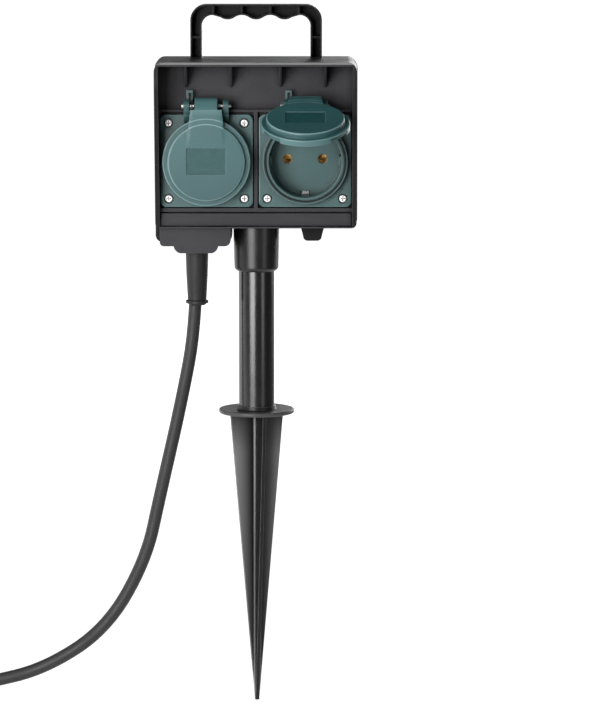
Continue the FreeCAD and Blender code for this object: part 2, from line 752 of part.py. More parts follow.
def make_socket_body(side, sign):
    """Plate, collar, recess cup, hinge ears and spring tab: one green moulding."""
    body = new_body(f"{side}_socket_body")
    place_at_socket(body, sign)
    half = plate_side / 2
    back = of.plate_front - of.plate_thickness
    plate = pad_front(body, f"{side}_plate", of.plate_front, back,
                      lambda s: draw_outline(s, box_points(-half, half, -half, half)))
    plate = dress(body, "Fillet", plate, lambda e: along(e, DEPTH_AXIS), of.plate_corner,
                  f"{side}_plate_corners")
    plate = dress(body, "Fillet", plate,
                  lambda e: abs(e.BoundBox.YMax + of.plate_front.value) < 0.01, as_size(0.6),
                  f"{side}_plate_edge")
    floor = ring_front - of.recess_depth
    turned(body, "Revolution", "XY_Plane", f"{side}_cup", [
        (ZERO, -floor), (of.recess_radius, -floor), (of.recess_radius, -ring_front),
        (ring_outer, -ring_front), (ring_outer, -gasket_floor),
        (collar_inner, -gasket_floor), (collar_inner, -collar_front),
        (collar_radius, -collar_front), (collar_radius, -back - 0.6),
        (cup_radius, -back - 0.6), (cup_radius, -floor + of.recess_floor),
        (ZERO, -floor + of.recess_floor),
    ])
    cut_front(body, f"{side}_recess_clear", of.plate_front + 0.1, back - 0.1,
              lambda s: draw_circle(s, ZERO, ZERO, of.recess_radius))
    rib, slot = of.guide_rib_width / 2, of.earth_slot_width / 2
    rib_in, rib_out = of.recess_radius - of.guide_rib_height, of.recess_radius + 0.4
    pad_front(body, f"{side}_guides", of.plate_front, floor - 0.5, lambda s: (
        draw_outline(s, box_points(-rib_out, -rib_in, -rib, rib)),
        draw_outline(s, box_points(rib_in, rib_out, -rib, rib))))
    cut_front(body, f"{side}_pin_holes", floor + 0.5, floor - of.recess_floor - 0.5,
              lambda s: draw_circles(s, pin_places(), pin_hole))
    slot_in, slot_out = of.recess_radius - 2.4, cup_radius + 0.5
    cut_front(body, f"{side}_earth_slots", back, floor - of.recess_floor - 0.5, lambda s: (
        draw_outline(s, box_points(-slot, slot, -slot_out, -slot_in)),
        draw_outline(s, box_points(-slot, slot, slot_in, slot_out))))
    rise = hinge_height
    front_y, front_z = as_size(math.cos(math.radians(40))), as_size(math.sin(math.radians(40)))
    for wing, hand in SIDES:
        sketch = new_sketch(body, "YZ_Plane", f"{side}_{wing}_ear",
                            hand * (of.ear_inner + ear_outer) / 2)
        draw_outline(sketch, [
            (-of.plate_front + 0.4, half - 5.5), (-of.plate_front + 0.4, half - 0.2),
            (-rim_front - 0.5, half + 0.4),
            (-hinge_front + front_y * of.ear_radius, rise + front_z * of.ear_radius,
             -of.ear_radius),
            (-hinge_front - of.ear_radius, rise), (-hinge_front - 2.2, rise - 3.0),
            (-hinge_front + 0.4, half - 2.0), (-hinge_front + 1.5, half - 3.8),
        ])
        extrude(body, "Pad", sketch, ear_outer - of.ear_inner, both=True)
    holes = [(a * plate_hole, b * plate_hole) for a in (-1, 1) for b in (-1, 1)]
    cut_front(body, f"{side}_screw_holes", of.plate_front + 0.1, back - 0.1,
              lambda s: draw_circles(s, holes, plate_screw_hole))
    cut_front(body, f"{side}_screw_sinks", of.plate_front + 0.1,
              of.plate_front - of.plate_sink_depth,
              lambda s: draw_circles(s, holes, plate_sink_radius))
    tab_back = rim_front + 0.4
    pad_front(body, f"{side}_spring_tab", tab_back + 1.4, tab_back, lambda s: draw_outline(
        s, box_points(-of.tab_left, -of.tab_right, half - 1.2, tab_top)))
    pad_front(body, f"{side}_tab_root", tab_back + 1.4, of.plate_front - 0.4, lambda s: draw_outline(
        s, box_points(-of.tab_left, -of.tab_right, half - 3.0, half - 0.4)))
    middle = -of.tab_slot_centre
    cut_front(body, f"{side}_tab_slot", tab_back + 1.6, tab_back - 0.2, lambda s: draw_outline(
        s, box_points(middle - of.tab_slot / 2, middle + of.tab_slot / 2, hinge_height + 2.1,
                      tab_top - 1.2)))
    sketch = new_sketch(body, "YZ_Plane", f"{side}_hinge_bore")
    draw_circle(sketch, -hinge_front, hinge_height, of.pin_radius + of.hinge_clearance)
    volume = body.Shape.Volume
    extrude(body, "Pocket", sketch, 3 * ear_outer, both=True)
    must_shrink(body, volume, "hinge bore")
    return body


def make_contact_carrier(side, sign):
    """The insulating block behind the recess, with a chamber for each line contact."""
    body = new_body(f"{side}_contact_carrier")
    place_at_socket(body, sign)
    seat = ring_front - of.recess_depth - of.recess_floor
    pad_front(body, f"{side}_carrier", seat, seat - of.carrier_length,
              lambda s: draw_circle(s, ZERO, ZERO, carrier_radius))
    cut_front(body, f"{side}_chambers", seat, seat - of.contact_length - 0.4,
              lambda s: draw_circles(s, pin_places(), contact_outer + 0.3))
    width = of.earth_slot_width / 2 + of.seat_gap
    cut_front(body, f"{side}_earth_groove", seat, seat - 1.0, lambda s: draw_outline(
        s, box_points(-width, width, -carrier_radius - 1, carrier_radius + 1)))
    return body


def make_line_contacts(side, sign):
    body = new_body(f"{side}_line_contacts")
    place_at_socket(body, sign)
    front = ring_front - of.recess_depth - of.recess_floor - 0.4
    pad_front(body, f"{side}_contacts", front, front - of.contact_length,
              lambda s: draw_circles(s, pin_places(), contact_outer))
    cut_front(body, f"{side}_contact_bores", front, front - of.contact_length + 1.0,
              lambda s: draw_circles(s, pin_places(), contact_inner))
    cut_front(body, f"{side}_contact_slits", front, front - of.contact_length + 2.0,
              lambda s: [draw_outline(s, box_points(x - 0.4, x + 0.4, contact_inner - 0.6,
                                                    contact_outer + 0.5))
                         for x, z in pin_places()])
    return body


def make_earth_clip(side, sign):
    """A bent strip: a bar across the back and an arm through each earth slot."""
    body = new_body(f"{side}_earth_clip")
    place_at_socket(body, sign)
    back = of.recess_floor - ring_front + of.recess_depth + 1.0
    strip = as_size(0.8)
    arm = of.recess_radius + 1.0
    upper = [
        (back, arm), (back - 9.0, arm), (back - 11.0, arm - 1.5), (back - 13.0, arm - 0.3),
        (back - 12.6, arm - 1.1), (back - 11.0, arm - 2.3), (back - 9.2, arm - 0.8),
        (back - strip, arm - strip),
    ]
    lower = [(y, -z) for y, z in reversed(upper)]
    sketch = new_sketch(body, "YZ_Plane", f"{side}_clip_side")
    draw_outline(sketch, upper + lower)
    extrude(body, "Pad", sketch, of.earth_slot_width - 0.6, both=True)
    return body


def make_plate_seal(side, sign):
    body = new_body(f"{side}_plate_seal")
    place_at_socket(body, sign)
    half = plate_side / 2
    front = of.plate_front - of.plate_thickness
    seal = pad_front(body, f"{side}_seal", front, bulkhead_front,
                     lambda s: draw_outline(s, box_points(-half, half, -half, half)))
    dress(body, "Fillet", seal, lambda e: along(e, DEPTH_AXIS), of.plate_corner,
          f"{side}_seal_corners")
    holes = [(a * plate_hole, b * plate_hole) for a in (-1, 1) for b in (-1, 1)]
    cut_front(body, f"{side}_seal_holes", front, bulkhead_front, lambda s: (
        draw_circle(s, ZERO, ZERO, cup_radius + 2 * of.seat_gap),
        draw_circles(s, holes, plate_screw_hole)))
    return body


def make_collar_gasket(side, sign):
    body = new_body(f"{side}_collar_gasket")
    place_at_socket(body, sign)
    pad_front(body, f"{side}_gasket", collar_front + 0.4, gasket_floor, lambda s: (
        draw_circle(s, ZERO, ZERO, collar_inner - of.press_gap),
        draw_circle(s, ZERO, ZERO, ring_outer + of.press_gap)))
    return body


def make_lid(side, sign, open_angle):
    """A lid drawn closed about its own centre, then turned about its hinge."""
    body = new_body(f"{side}_lid")
    if open_angle.value > 0:
        body.Placement = Placement(Vector(), Rotation(-WIDTH_AXIS, open_angle.value))
        bind(body, "Placement.Rotation.Angle", open_angle)
    bind(body, "Placement.Base.x", socket_x(sign))
    bind(body, "Placement.Base.y", -hinge_front - hinge_height * sine(open_angle))
    bind(body, "Placement.Base.z",
         of.plate_centre + hinge_height - hinge_height * cosine(open_angle))
    step = of.lid_face - of.lid_flange_step
    under = step - 1.4
    seal_out, seal_in = collar_inner - 0.1, ring_outer - 0.2
    turned(body, "Revolution", "XY_Plane", f"{side}_lid_dish", [
        (ZERO, -of.lid_face), (lid_radius - 1.0, -of.lid_face, -as_size(1.0)),
        (lid_radius, -of.lid_face + 1.0), (lid_radius, -step),
        (lid_flange_radius - 0.6, -step, -as_size(0.6)), (lid_flange_radius, -step + 0.6),
        (lid_flange_radius, -of.lid_skirt_edge),
        (lid_flange_radius - of.lid_skirt_wall, -of.lid_skirt_edge),
        (lid_flange_radius - of.lid_skirt_wall, -under), (seal_out, -under),
        (seal_out, as_size(-0.3)), (seal_in, as_size(-0.3)), (seal_in, -under),
        (lid_radius - of.lid_wall, -under),
        (lid_radius - of.lid_wall, -of.lid_face + of.lid_wall), (ZERO, -of.lid_face + of.lid_wall),
    ])
    top = hinge_height - 1.8
    pad_front(body, f"{side}_strap", of.lid_face, of.lid_face - of.strap_thickness - 1.0,
              lambda s: draw_outline(s, [
                  (-of.strap_half_bottom, lid_radius - 7.0),
                  (of.strap_half_bottom, lid_radius - 7.0),
                  (of.strap_half_bottom, hinge_height - 13.0), (of.strap_half_top, top),
                  (-of.strap_half_top, top), (-of.strap_half_bottom, hinge_height - 13.0)]))
    link = new_sketch(body, "YZ_Plane", f"{side}_link")
    rise, face = hinge_height, of.lid_face
    draw_outline(link, [
        (-face, rise - 6.0), (-face + 4.1, rise - 6.0), (as_size(-1.0), rise - 2.0),
        (as_size(-1.0), rise + of.barrel_radius - 1.2), (-of.barrel_radius + 1.2, rise + 3.0),
        (-face, rise - 1.8)])
    extrude(body, "Pad", link, 2 * of.barrel_half_length, both=True)
    barrel = new_sketch(body, "YZ_Plane", f"{side}_barrel")
    draw_circle(barrel, ZERO, rise, of.barrel_radius)
    extrude(body, "Pad", barrel, 2 * of.barrel_half_length, both=True)
    bore = new_sketch(body, "YZ_Plane", f"{side}_barrel_bore")
    draw_circle(bore, ZERO, rise, of.pin_radius + of.hinge_clearance)
    volume = body.Shape.Volume
    extrude(body, "Pocket", bore, 4 * of.barrel_half_length, both=True)
    must_shrink(body, volume, "barrel bore")
    leg = new_sketch(body, "YZ_Plane", f"{side}_leg_hole", -of.barrel_half_length)
    draw_circle(leg, -spring_radius * cosine(of.spring_start),
                rise + spring_radius * sine(of.spring_start), of.spring_wire / 2 + of.press_gap)
    volume = body.Shape.Volume
    extrude(body, "Pocket", leg, 3.2, backwards=True)
    must_shrink(body, volume, "leg hole")
    middle = as_size(0.6)
    cut_front(body, f"{side}_label_place", of.lid_face, of.lid_face - of.label_depth,
              lambda s: draw_outline(s, box_points(
                  -of.label_width / 2, of.label_width / 2, middle - of.label_height / 2,
                  middle + of.label_height / 2)))
    notch_in, notch_out = lid_flange_radius - of.lid_skirt_wall - 0.2, lid_flange_radius + 1.0
    cut_front(body, f"{side}_skirt_arches", step - 0.5, ZERO, lambda s: [
        draw_outline(s, [
            (polar_x(radius, hand * turn), polar_z(radius, hand * turn))
            for radius, turn in ((notch_in, 34), (notch_out, 34), (notch_out, 51.5), (notch_out, 69),
                                 (notch_in, 69), (notch_in, 51.5))])
        for hand in (-1, 1)])
    return body


def polar_x(radius, degrees):
    """X at an angle from straight down."""
    return radius * math.sin(math.radians(degrees))


def polar_z(radius, degrees):
    return -radius * math.cos(math.radians(degrees))


def make_hinge_pin(side, sign):
    body = new_body(f"{side}_hinge_pin")
    place_at_socket(body, sign)
    sketch = new_sketch(body, "XY_Plane", f"{side}_pin_half", hinge_height)
    axis, reach = -hinge_front, pin_half_length - 0.5
    head = ear_outer + of.pin_head_length
    draw_outline(sketch, [
        (-head, axis), (-head, axis + of.pin_head_radius), (-ear_outer, axis + of.pin_head_radius),
        (-ear_outer, axis + of.pin_radius), (reach, axis + of.pin_radius),
        (reach + 0.5, axis + of.pin_radius - 0.5), (reach + 0.5, axis)])
    centre = sketch.addGeometry(Part.LineSegment(Vector(-30, axis.value, 0), Vector(30, axis.value, 0)),
                                True)
    pin_point(sketch, centre, 1, as_size(-30), axis)
    pin_point(sketch, centre, 2, as_size(30), axis)
    feature = body.newObject("PartDesign::Revolution", f"{side}_pin_Revolution")
    feature.Profile = sketch
    feature.ReferenceAxis = (sketch, ["Axis0"])
    feature.Angle = 360
    doc.recompute()
    return body


def make_lid_spring(side, sign, open_angle):
    """A torsion spring round the pin: one leg in the tab's slot, one in the lid's barrel."""
    turns = of.spring_turns + open_angle / 360
    start = as_size(0.5) - of.ear_inner
    helix = doc.addObject("Part::Helix", f"{side}_spring_line")
    helix.LocalCoord = "Left-handed"
    bind(helix, "Radius", spring_radius)
    bind(helix, "Pitch", of.spring_length / turns)
    bind(helix, "Height", of.spring_length)
    section = doc.addObject("Part::Circle", f"{side}_spring_section")
    section.Placement = Placement(Vector(), Rotation(WIDTH_AXIS, 90))
    bind(section, "Radius", of.spring_wire / 2)
    bind(section, "Placement.Base.x", spring_radius)
    doc.recompute()
    coil = doc.addObject("Part::Sweep", f"{side}_spring_coil")
    coil.Sections = [section]
    coil.Spine = (helix, ["Edge1"])
    coil.Solid = True
    coil.Frenet = True
    end = turns * 360
    legs = (("tab_leg", spring_radius, ZERO, ZERO, Rotation(WIDTH_AXIS, -90), of.spring_leg),
            ("lid_leg", spring_radius * cosine(end), -spring_radius * sine(end),
             of.spring_length, Rotation(), of.ear_inner - of.barrel_half_length))
    pieces = [coil]
    for name, x, y, z, rotation, length in legs:
        for kind in ("Cylinder", "Sphere"):
            piece = doc.addObject(f"Part::{kind}", f"{side}_{name}_{kind}")
            piece.Placement = Placement(Vector(), rotation)
            bind(piece, "Radius", of.spring_wire / 2)
            bind(piece, "Placement.Base.x", x)
            bind(piece, "Placement.Base.y", y)
            bind(piece, "Placement.Base.z", z)
            if kind == "Cylinder":
                bind(piece, "Height", length)
            pieces.append(piece)
    spring = doc.addObject("Part::MultiFuse", f"{side}_lid_spring")
    spring.Shapes = pieces
    spring.Label = f"{side}_lid_spring"
    tilt = Rotation(WIDTH_AXIS, 90 - of.spring_start.value)
    spring.Placement = Placement(Vector(), tilt * Rotation(DEPTH_AXIS, 90))
    bind(spring, "Placement.Base.x", socket_x(sign) + start)
    bind(spring, "Placement.Base.y", -hinge_front)
    bind(spring, "Placement.Base.z", of.plate_centre + hinge_height)
    doc.recompute()
    nodes.append(spring)
    return spring


def make_socket_screws():
    """The eight plate screws, with cross recesses."""
    body = new_body("socket_screws")
    places = list(screw_places())
    seat = of.plate_front - of.plate_sink_depth
    heads = pad_front(body, "screw_heads", seat + of.screw_head_length, seat,
                      lambda s: draw_circles(s, places, of.screw_head_radius))
    top = -(seat + of.screw_head_length).value
    dress(body, "Fillet", heads, lambda e: abs(e.BoundBox.YMin - top) < 0.01
          and abs(e.BoundBox.YMax - top) < 0.01, as_size(0.6), "screw_head_rounds")
    pad_front(body, "screw_shanks", seat, seat - of.screw_length,
              lambda s: draw_circles(s, places, of.screw_shank_radius))
    arm, half = as_size(1.2), as_size(0.28)
    cut_front(body, "screw_crosses", seat + of.screw_head_length, seat + 0.6, lambda s: [
        draw_outline(s, [
            (x - arm, z - half), (x - half, z - half), (x - half, z - arm), (x + half, z - arm),
            (x + half, z - half), (x + arm, z - half), (x + arm, z + half), (x + half, z + half),
            (x + half, z + arm), (x - half, z + arm), (x - half, z + half), (x - arm, z + half)])
        for x, z in places])
    return body


def make_cover_screws():
    body = new_body("cover_screws")
    places = list(cover_screw_places())
    seat = -of.housing_depth + of.cover_screw_sink
    pad_front(body, "cover_heads", seat, seat - 2.0,
              lambda s: draw_circles(s, places, of.cover_screw_head))
    pad_front(body, "cover_shanks", bulkhead_front - of.bulkhead_thickness - 5.0, seat,
              lambda s: draw_circles(s, places, of.cover_screw_radius))
    cut_front(body, "cover_slots", seat - 1.0, seat - 2.0, lambda s: [
        draw_outline(s, box_points(x - of.cover_screw_head + 0.8, x + of.cover_screw_head - 0.8,
                                   z - 0.4, z + 0.4)) for x, z in places])
    return body


def make_pole_sleeve():
    body = new_body("pole_sleeve")
    bore = of.tube_radius + of.press_gap
    floor_top = frame_bottom + of.wall
    turned(body, "Revolution", "XZ_Plane", "sleeve_side", [
        (bore, sleeve_bottom), (of.tube_radius + of.sleeve_lip, sleeve_bottom, -of.sleeve_round),
        (sleeve_foot_radius, sleeve_bottom + of.sleeve_round), (sleeve_radius, frame_bottom),
        (sleeve_neck, frame_bottom), (sleeve_neck, floor_top),
        (sleeve_collar - 1.0, floor_top), (sleeve_collar - 1.0, tube_top + 2.0),
        (ZERO, tube_top + 2.0), (ZERO, tube_top), (bore, tube_top),
    ])
    return body


def make_pole_tube():
    body = new_body("pole_tube")
    turned(body, "Revolution", "XZ_Plane", "tube_side", [
        (tube_bore, of.flange_thickness), (of.tube_radius, of.flange_thickness),
        (of.tube_radius, tube_top), (tube_bore, tube_top),
    ])
    return body


def make_ground_spike():
    """The round flange with its spigot above and the crossed, tapered blades below."""
    body = new_body("ground_spike")
    body.Placement = Placement(Vector(), Rotation(HEIGHT_AXIS, of.spike_turn.value))
    bind(body, "Placement.Rotation.Angle", of.spike_turn)
    spigot = tube_bore - of.press_gap
    collar_in = of.tube_radius + of.press_gap
    foot = of.flange_thickness + of.foot_collar_height
    turned(body, "Revolution", "XZ_Plane", "flange_side", [
        (ZERO, ZERO), (of.flange_radius - 0.8, ZERO, -as_size(0.8)), (of.flange_radius, as_size(0.8)),
        (of.flange_radius, of.flange_thickness - 0.6, -as_size(0.6)),
        (of.flange_radius - 0.6, of.flange_thickness), (foot_collar, of.flange_thickness),
        (foot_collar - 0.3, foot), (collar_in, foot), (collar_in, of.flange_thickness),
        (spigot, of.flange_thickness), (spigot, of.flange_thickness + of.spigot_length - 1.0),
        (spigot - 1.0, of.flange_thickness + of.spigot_length),
        (ZERO, of.flange_thickness + of.spigot_length),
    ])
    for role, name in (("XZ_Plane", "front_blades"), ("YZ_Plane", "side_blades")):
        sketch = new_sketch(body, role, name)
        draw_outline(sketch, [
            (-of.blade_tip, -of.spike_length), (of.blade_tip, -of.spike_length),
            (of.blade_reach, as_size(0.4)), (-of.blade_reach, as_size(0.4))])
        extrude(body, "Pad", sketch, of.blade_thickness, both=True)
    core = of.blade_thickness / 2 + of.blade_root_fillet
    turned(body, "Revolution", "XZ_Plane", "blade_core", [
        (ZERO, -of.spike_length), (of.blade_tip, -of.spike_length + 0.4),
        (core, as_size(0.2)), (ZERO, as_size(0.2))])
    return body


def make_strain_relief():
    body = new_body("strain_relief")
    bind(body, "Placement.Base.x", -of.relief_offset)
    bore = of.cord_diameter / 2 + of.press_gap
    top, ring = bump_bottom, relief_end + 1.6
    inside = bump_bottom + of.bay_wall + 0.1
    turned(body, "Revolution", "XZ_Plane", "relief_side", [
        (bore, relief_end), (relief_low_radius - 0.6, relief_end),
        (relief_low_radius, ring - 0.8), (relief_ring_radius, ring - 0.6),
        (relief_ring_radius, ring + 0.8), (relief_low_radius, ring + 1.2),
        (relief_mid_radius, relief_end + 17.0), (relief_top_radius, top),
        (gland_neck, top), (gland_neck, inside), (relief_top_radius, inside),
        (relief_top_radius, inside + 2.0), (bore, inside + 2.0),
    ])
    return body


def free_path(name, edges):
    """A tube of the cord's section along edges that meet tangentially."""
    wire = Part.Wire(edges)
    start = edges[0].Vertexes[0].Point
    heading = (edges[0].Vertexes[1].Point - start).normalize()
    section = Part.Wire(Part.makeCircle(of.cord_diameter.value / 2, start, heading))
    shell = wire.makePipeShell([section], True, False)
    node = doc.addObject("Part::Feature", name)
    node.Shape = shell
    node.Label = name
    nodes.append(node)
    length = sum(edge.Length for edge in edges)
    area = math.pi * of.cord_diameter.value**2 / 4
    print(name, "length", round(length, 1), "volume over section x length",
          round(shell.Volume / area / length, 5))
    return edges


def make_mains_cord():
    """The lead from the cable compartment to the ground, as runs joined by tangent arcs."""
    axis = -of.relief_offset.value
    ground = of.coil_lift.value - of.spike_length.value
    points = [Vector(x, 0, z) for x, z in (
        (axis, cord_top.value), (axis, 52.0), (-41.8, 3.0), (-53.2, -46.0), (-61.0, -82.0),
        (-83.0, -121.0), (-117.5, -143.8), (-150.5, -151.8), (-178.0, ground),
        (-of.coil_start.value, ground))]
    runs = [(b - a).Length for a, b in zip(points, points[1:])]
    edges, here, radii = [], points[0], []
    for i in range(1, len(points) - 1):
        back = (points[i - 1] - points[i]).normalize()
        ahead = (points[i + 1] - points[i]).normalize()
        cut = 0.45 * min(runs[i - 1], runs[i])
        half_turn = (math.pi - back.getAngle(ahead)) / 2
        radius = cut / math.tan(half_turn)
        first, last = points[i] + back * cut, points[i] + ahead * cut
        inward = (back + ahead).normalize()
        middle = points[i] + inward * (radius / math.cos(half_turn) - radius)
        edges.append(Part.LineSegment(here, first).toShape())
        edges.append(Part.Arc(first, middle, last).toShape())
        here = last
        radii.append(round(radius, 1))
    edges.append(Part.LineSegment(here, points[-1]).toShape())
    print("mains_cord runs", [round(run, 1) for run in runs], "radii", radii)
    return free_path("mains_cord", edges)


def tangent_arcs(start, heading, end, leaving):
    """Two arcs that join two points with given directions and meet tangentially."""
    chord, total = end - start, heading + leaving
    gain = 2 * (1 - heading.dot(leaving))
    reach = chord.dot(total)
    if gain < 1e-9:
        length = chord.dot(chord) / (2 * reach)
    else:
        length = (math.sqrt(reach**2 + gain * chord.dot(chord)) - reach) / gain
    first, last = start + heading * length, end - leaving * length
    join = (first + last) * 0.5
    for near, corner, far in ((start, first, join), (join, last, end)):
        half = (far - near).Length / 2
        weight = half / length
        middle = ((near + far) * 0.5 + corner * weight) * (1 / (1 + weight))
        yield Part.Arc(near, middle, far).toShape()


LOW_TURNS = 1.75
CLIMB_TURNS = 0.5


def coil_point(turns):
    """Place and heading on the coil's line: inwards below, a climb, then outwards above."""
    step = of.coil_step.value
    low, climb = LOW_TURNS, CLIMB_TURNS
    inner = of.coil_radius.value - step * low
    if turns <= low:
        radius, slope, height, rise = of.coil_radius.value - step * turns, -step, 0.0, 0.0
    elif turns <= low + climb:
        part = turns - low
        share = part / climb
        radius, slope = inner - step * part + step * part**2 / climb, -step + 2 * step * share
        height = step * (3 * share**2 - 2 * share**3)
        rise = step * 6 * (share - share**2) / climb
    else:
        radius, slope, height, rise = inner + step * (turns - low - climb), step, step, 0.0
    angle = math.pi / 2 + 2 * math.pi * turns
    outward = Vector(math.cos(angle), math.sin(angle), 0)
    around = Vector(-math.sin(angle), math.cos(angle), 0)
    centre = Vector(-of.coil_start.value - of.cord_diameter.value, -of.coil_radius.value,
                    of.coil_lift.value - of.spike_length.value)
    place = centre + outward * radius + Vector(0, 0, height)
    heading = around * (2 * math.pi * radius) + outward * slope + Vector(0, 0, rise)
    return place, heading.normalize()


def make_cord_coil():
    """The rest of the lead: laid in two layers on the ground, its end run to the plug."""
    width, across = of.cord_diameter.value, -WIDTH_AXIS
    start = Vector(-of.coil_start.value, 0, of.coil_lift.value - of.spike_length.value)
    place, heading = start + across * width, across
    edges = [Part.LineSegment(start, place).toShape()]
    quarters = round(4 * (2 * LOW_TURNS + CLIMB_TURNS))
    for quarter in range(1, quarters + 1):
        after, leaving = coil_point(quarter / 4)
        if quarter == quarters:
            leaving = across
        edges += tangent_arcs(place, heading, after, leaving)
        place, heading = after, leaving
    plug_level = of.plug_radius.value - of.spike_length.value
    level = Vector(place.x - of.plug_run.value, place.y, plug_level)
    edges += tangent_arcs(place, across, level, across)
    last = level + across * width
    edges.append(Part.LineSegment(level, last).toShape())
    free_path("cord_coil", edges)
    return last


def make_cord_tie():
    body = new_body("cord_tie")
    bind(body, "Placement.Base.y", -of.coil_radius)
    centre = -of.coil_start - of.cord_diameter
    half, step = of.cord_diameter / 2, of.coil_step
    ground = of.coil_lift - of.spike_length
    left = centre + of.coil_radius - LOW_TURNS * step - half - of.tie_gap
    right = centre + of.coil_radius - 0.25 * step + half + of.tie_gap
    low, high = ground - half - of.tie_gap, ground + step + half + of.tie_gap
    for kind, grow, radius in (("Pad", of.tie_thickness, half + of.tie_thickness),
                               ("Pocket", ZERO, half)):
        sketch = new_sketch(body, "XZ_Plane", f"tie_{kind}")
        draw_outline(sketch, round_box_points(left - grow, right + grow, low - grow, high + grow,
                                              radius, radius))
        extrude(body, kind, sketch, of.tie_width, both=True)
    return body


def place_at_plug(body, end):
    body.Placement = Placement(end, Rotation(HEIGHT_AXIS, 90))


def make_plug(end):
    """An earthed plug: round body with side grooves, two pins and two earth strips."""
    body = new_body("plug_body")
    place_at_plug(body, end)
    face = of.plug_length
    turned(body, "Revolution", "XY_Plane", "plug_side", [
        (ZERO, ZERO), (as_size(5.2), ZERO), (as_size(6.2), as_size(11.0)), (as_size(9.0), as_size(15.0)),
        (of.plug_radius - 1.6, as_size(19.0)), (of.plug_radius, as_size(22.5)),
        (of.plug_radius, face - 0.8), (of.plug_radius - 0.8, face), (ZERO, face),
    ])
    groove, side = of.plug_radius - 3.4, of.plug_groove_width / 2
    cut_front(body, "plug_grooves", as_size(-20.0), -face - 1, lambda s: [
        draw_outline(s, points) for points in (
            box_points(-side, side, groove, of.plug_radius + 1),
            box_points(-side, side, -of.plug_radius - 1, -groove),
            box_points(-of.plug_radius - 1, -of.plug_radius + 1.8, as_size(-3.0), as_size(3.0)),
            box_points(of.plug_radius - 1.8, of.plug_radius + 1, as_size(-3.0), as_size(3.0)))])
    root = of.plug_pin_radius - 0.3
    cut_front(body, "plug_pin_seats", -face + 10.0, -face - 1,
              lambda s: draw_circles(s, pin_places(), root + of.press_gap))
    pins = new_body("plug_pins")
    place_at_plug(pins, end)
    tip = -(face + of.plug_pin_length)
    pad_front(pins, "pin_roots", -face + 10.0, -face,
              lambda s: draw_circles(s, pin_places(), root))
    pads = pad_front(pins, "pins", -face, tip,
                     lambda s: draw_circles(s, pin_places(), of.plug_pin_radius))
    dress(pins, "Fillet", pads, lambda e: abs(e.BoundBox.YMin + tip.value) < 0.01
          and abs(e.BoundBox.YMax + tip.value) < 0.01, as_size(1.6), "pin_tips")
    strips = new_body("plug_earth_strips")
    place_at_plug(strips, end)
    half = as_size(2.4)
    pad_front(strips, "earth_strips", as_size(-21.0), -face + 1.0, lambda s: (
        draw_outline(s, box_points(-half, half, groove, groove + 1.2)),
        draw_outline(s, box_points(-half, half, -groove - 1.2, -groove))))


def finish():
    doc.recompute()
    for thing in doc.Objects:
        if "Invalid" in thing.State or "Error" in thing.State:
            raise RuntimeError(f"{thing.Name} of {thing.Label} did not build: {thing.State}")
    os.makedirs("parts", exist_ok=True)
    for node in nodes:
        shape = node.Shape
        if shape.isNull() or not shape.isValid():
            raise RuntimeError(f"{node.Label} has no valid shape")
        shape.exportStep(f"parts/{node.Label}.step")
        print(node.Label, len(shape.Solids), round(shape.Volume), shape.BoundBox)


make_front_shell()
make_rear_cover()
for side, sign in SIDES:
    make_socket_body(side, sign)
    make_contact_carrier(side, sign)
    make_line_contacts(side, sign)
    make_earth_clip(side, sign)
    make_plate_seal(side, sign)
    make_collar_gasket(side, sign)
    rest = ZERO if sign < 0 else of.right_lid_open
    make_lid(side, sign, rest)
    make_hinge_pin(side, sign)
    make_lid_spring(side, sign, rest)
make_socket_screws()
make_cover_screws()
make_pole_sleeve()
make_pole_tube()
make_ground_spike()
make_strain_relief()
make_mains_cord()
plug_end = make_cord_coil()
make_cord_tie()
make_plug(plug_end)
finish()
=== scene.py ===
import json
import math

import bpy
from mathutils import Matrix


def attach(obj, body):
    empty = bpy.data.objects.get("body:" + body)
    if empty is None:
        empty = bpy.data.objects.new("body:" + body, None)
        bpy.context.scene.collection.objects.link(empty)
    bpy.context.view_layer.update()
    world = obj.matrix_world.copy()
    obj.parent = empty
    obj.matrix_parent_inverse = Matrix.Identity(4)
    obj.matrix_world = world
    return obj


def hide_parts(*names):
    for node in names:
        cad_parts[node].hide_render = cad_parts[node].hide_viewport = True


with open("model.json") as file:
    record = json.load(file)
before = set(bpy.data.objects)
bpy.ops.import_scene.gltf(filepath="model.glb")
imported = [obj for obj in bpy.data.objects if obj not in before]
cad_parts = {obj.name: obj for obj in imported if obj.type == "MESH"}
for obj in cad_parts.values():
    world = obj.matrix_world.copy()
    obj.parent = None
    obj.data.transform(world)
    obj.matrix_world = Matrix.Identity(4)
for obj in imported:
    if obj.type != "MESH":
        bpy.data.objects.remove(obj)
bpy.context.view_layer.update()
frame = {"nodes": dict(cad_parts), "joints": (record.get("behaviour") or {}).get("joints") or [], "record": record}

scene = bpy.context.scene
scene.view_settings.view_transform = "Standard"

# Camera, from the photograph's own perspective.
IMAGE_HEIGHT = 703
FOCAL_PIXELS = 3550
SENSOR = 36.0
CAMERA_PLACE = (0.0213, -1.925, 0.2973)
CAMERA_DOWN = 7.8


def place_camera():
    """The photograph's view: a long lens from the front, a little above, tipped down."""
    data = bpy.data.cameras.new("photo_camera")
    data.sensor_width = SENSOR
    data.lens = FOCAL_PIXELS / IMAGE_HEIGHT * SENSOR
    data.clip_end = 60
    camera = bpy.data.objects.new("photo_camera", data)
    scene.collection.objects.link(camera)
    camera.location = CAMERA_PLACE
    camera.rotation_euler = (math.radians(90 - CAMERA_DOWN), 0, 0)
    scene.camera = camera


place_camera()

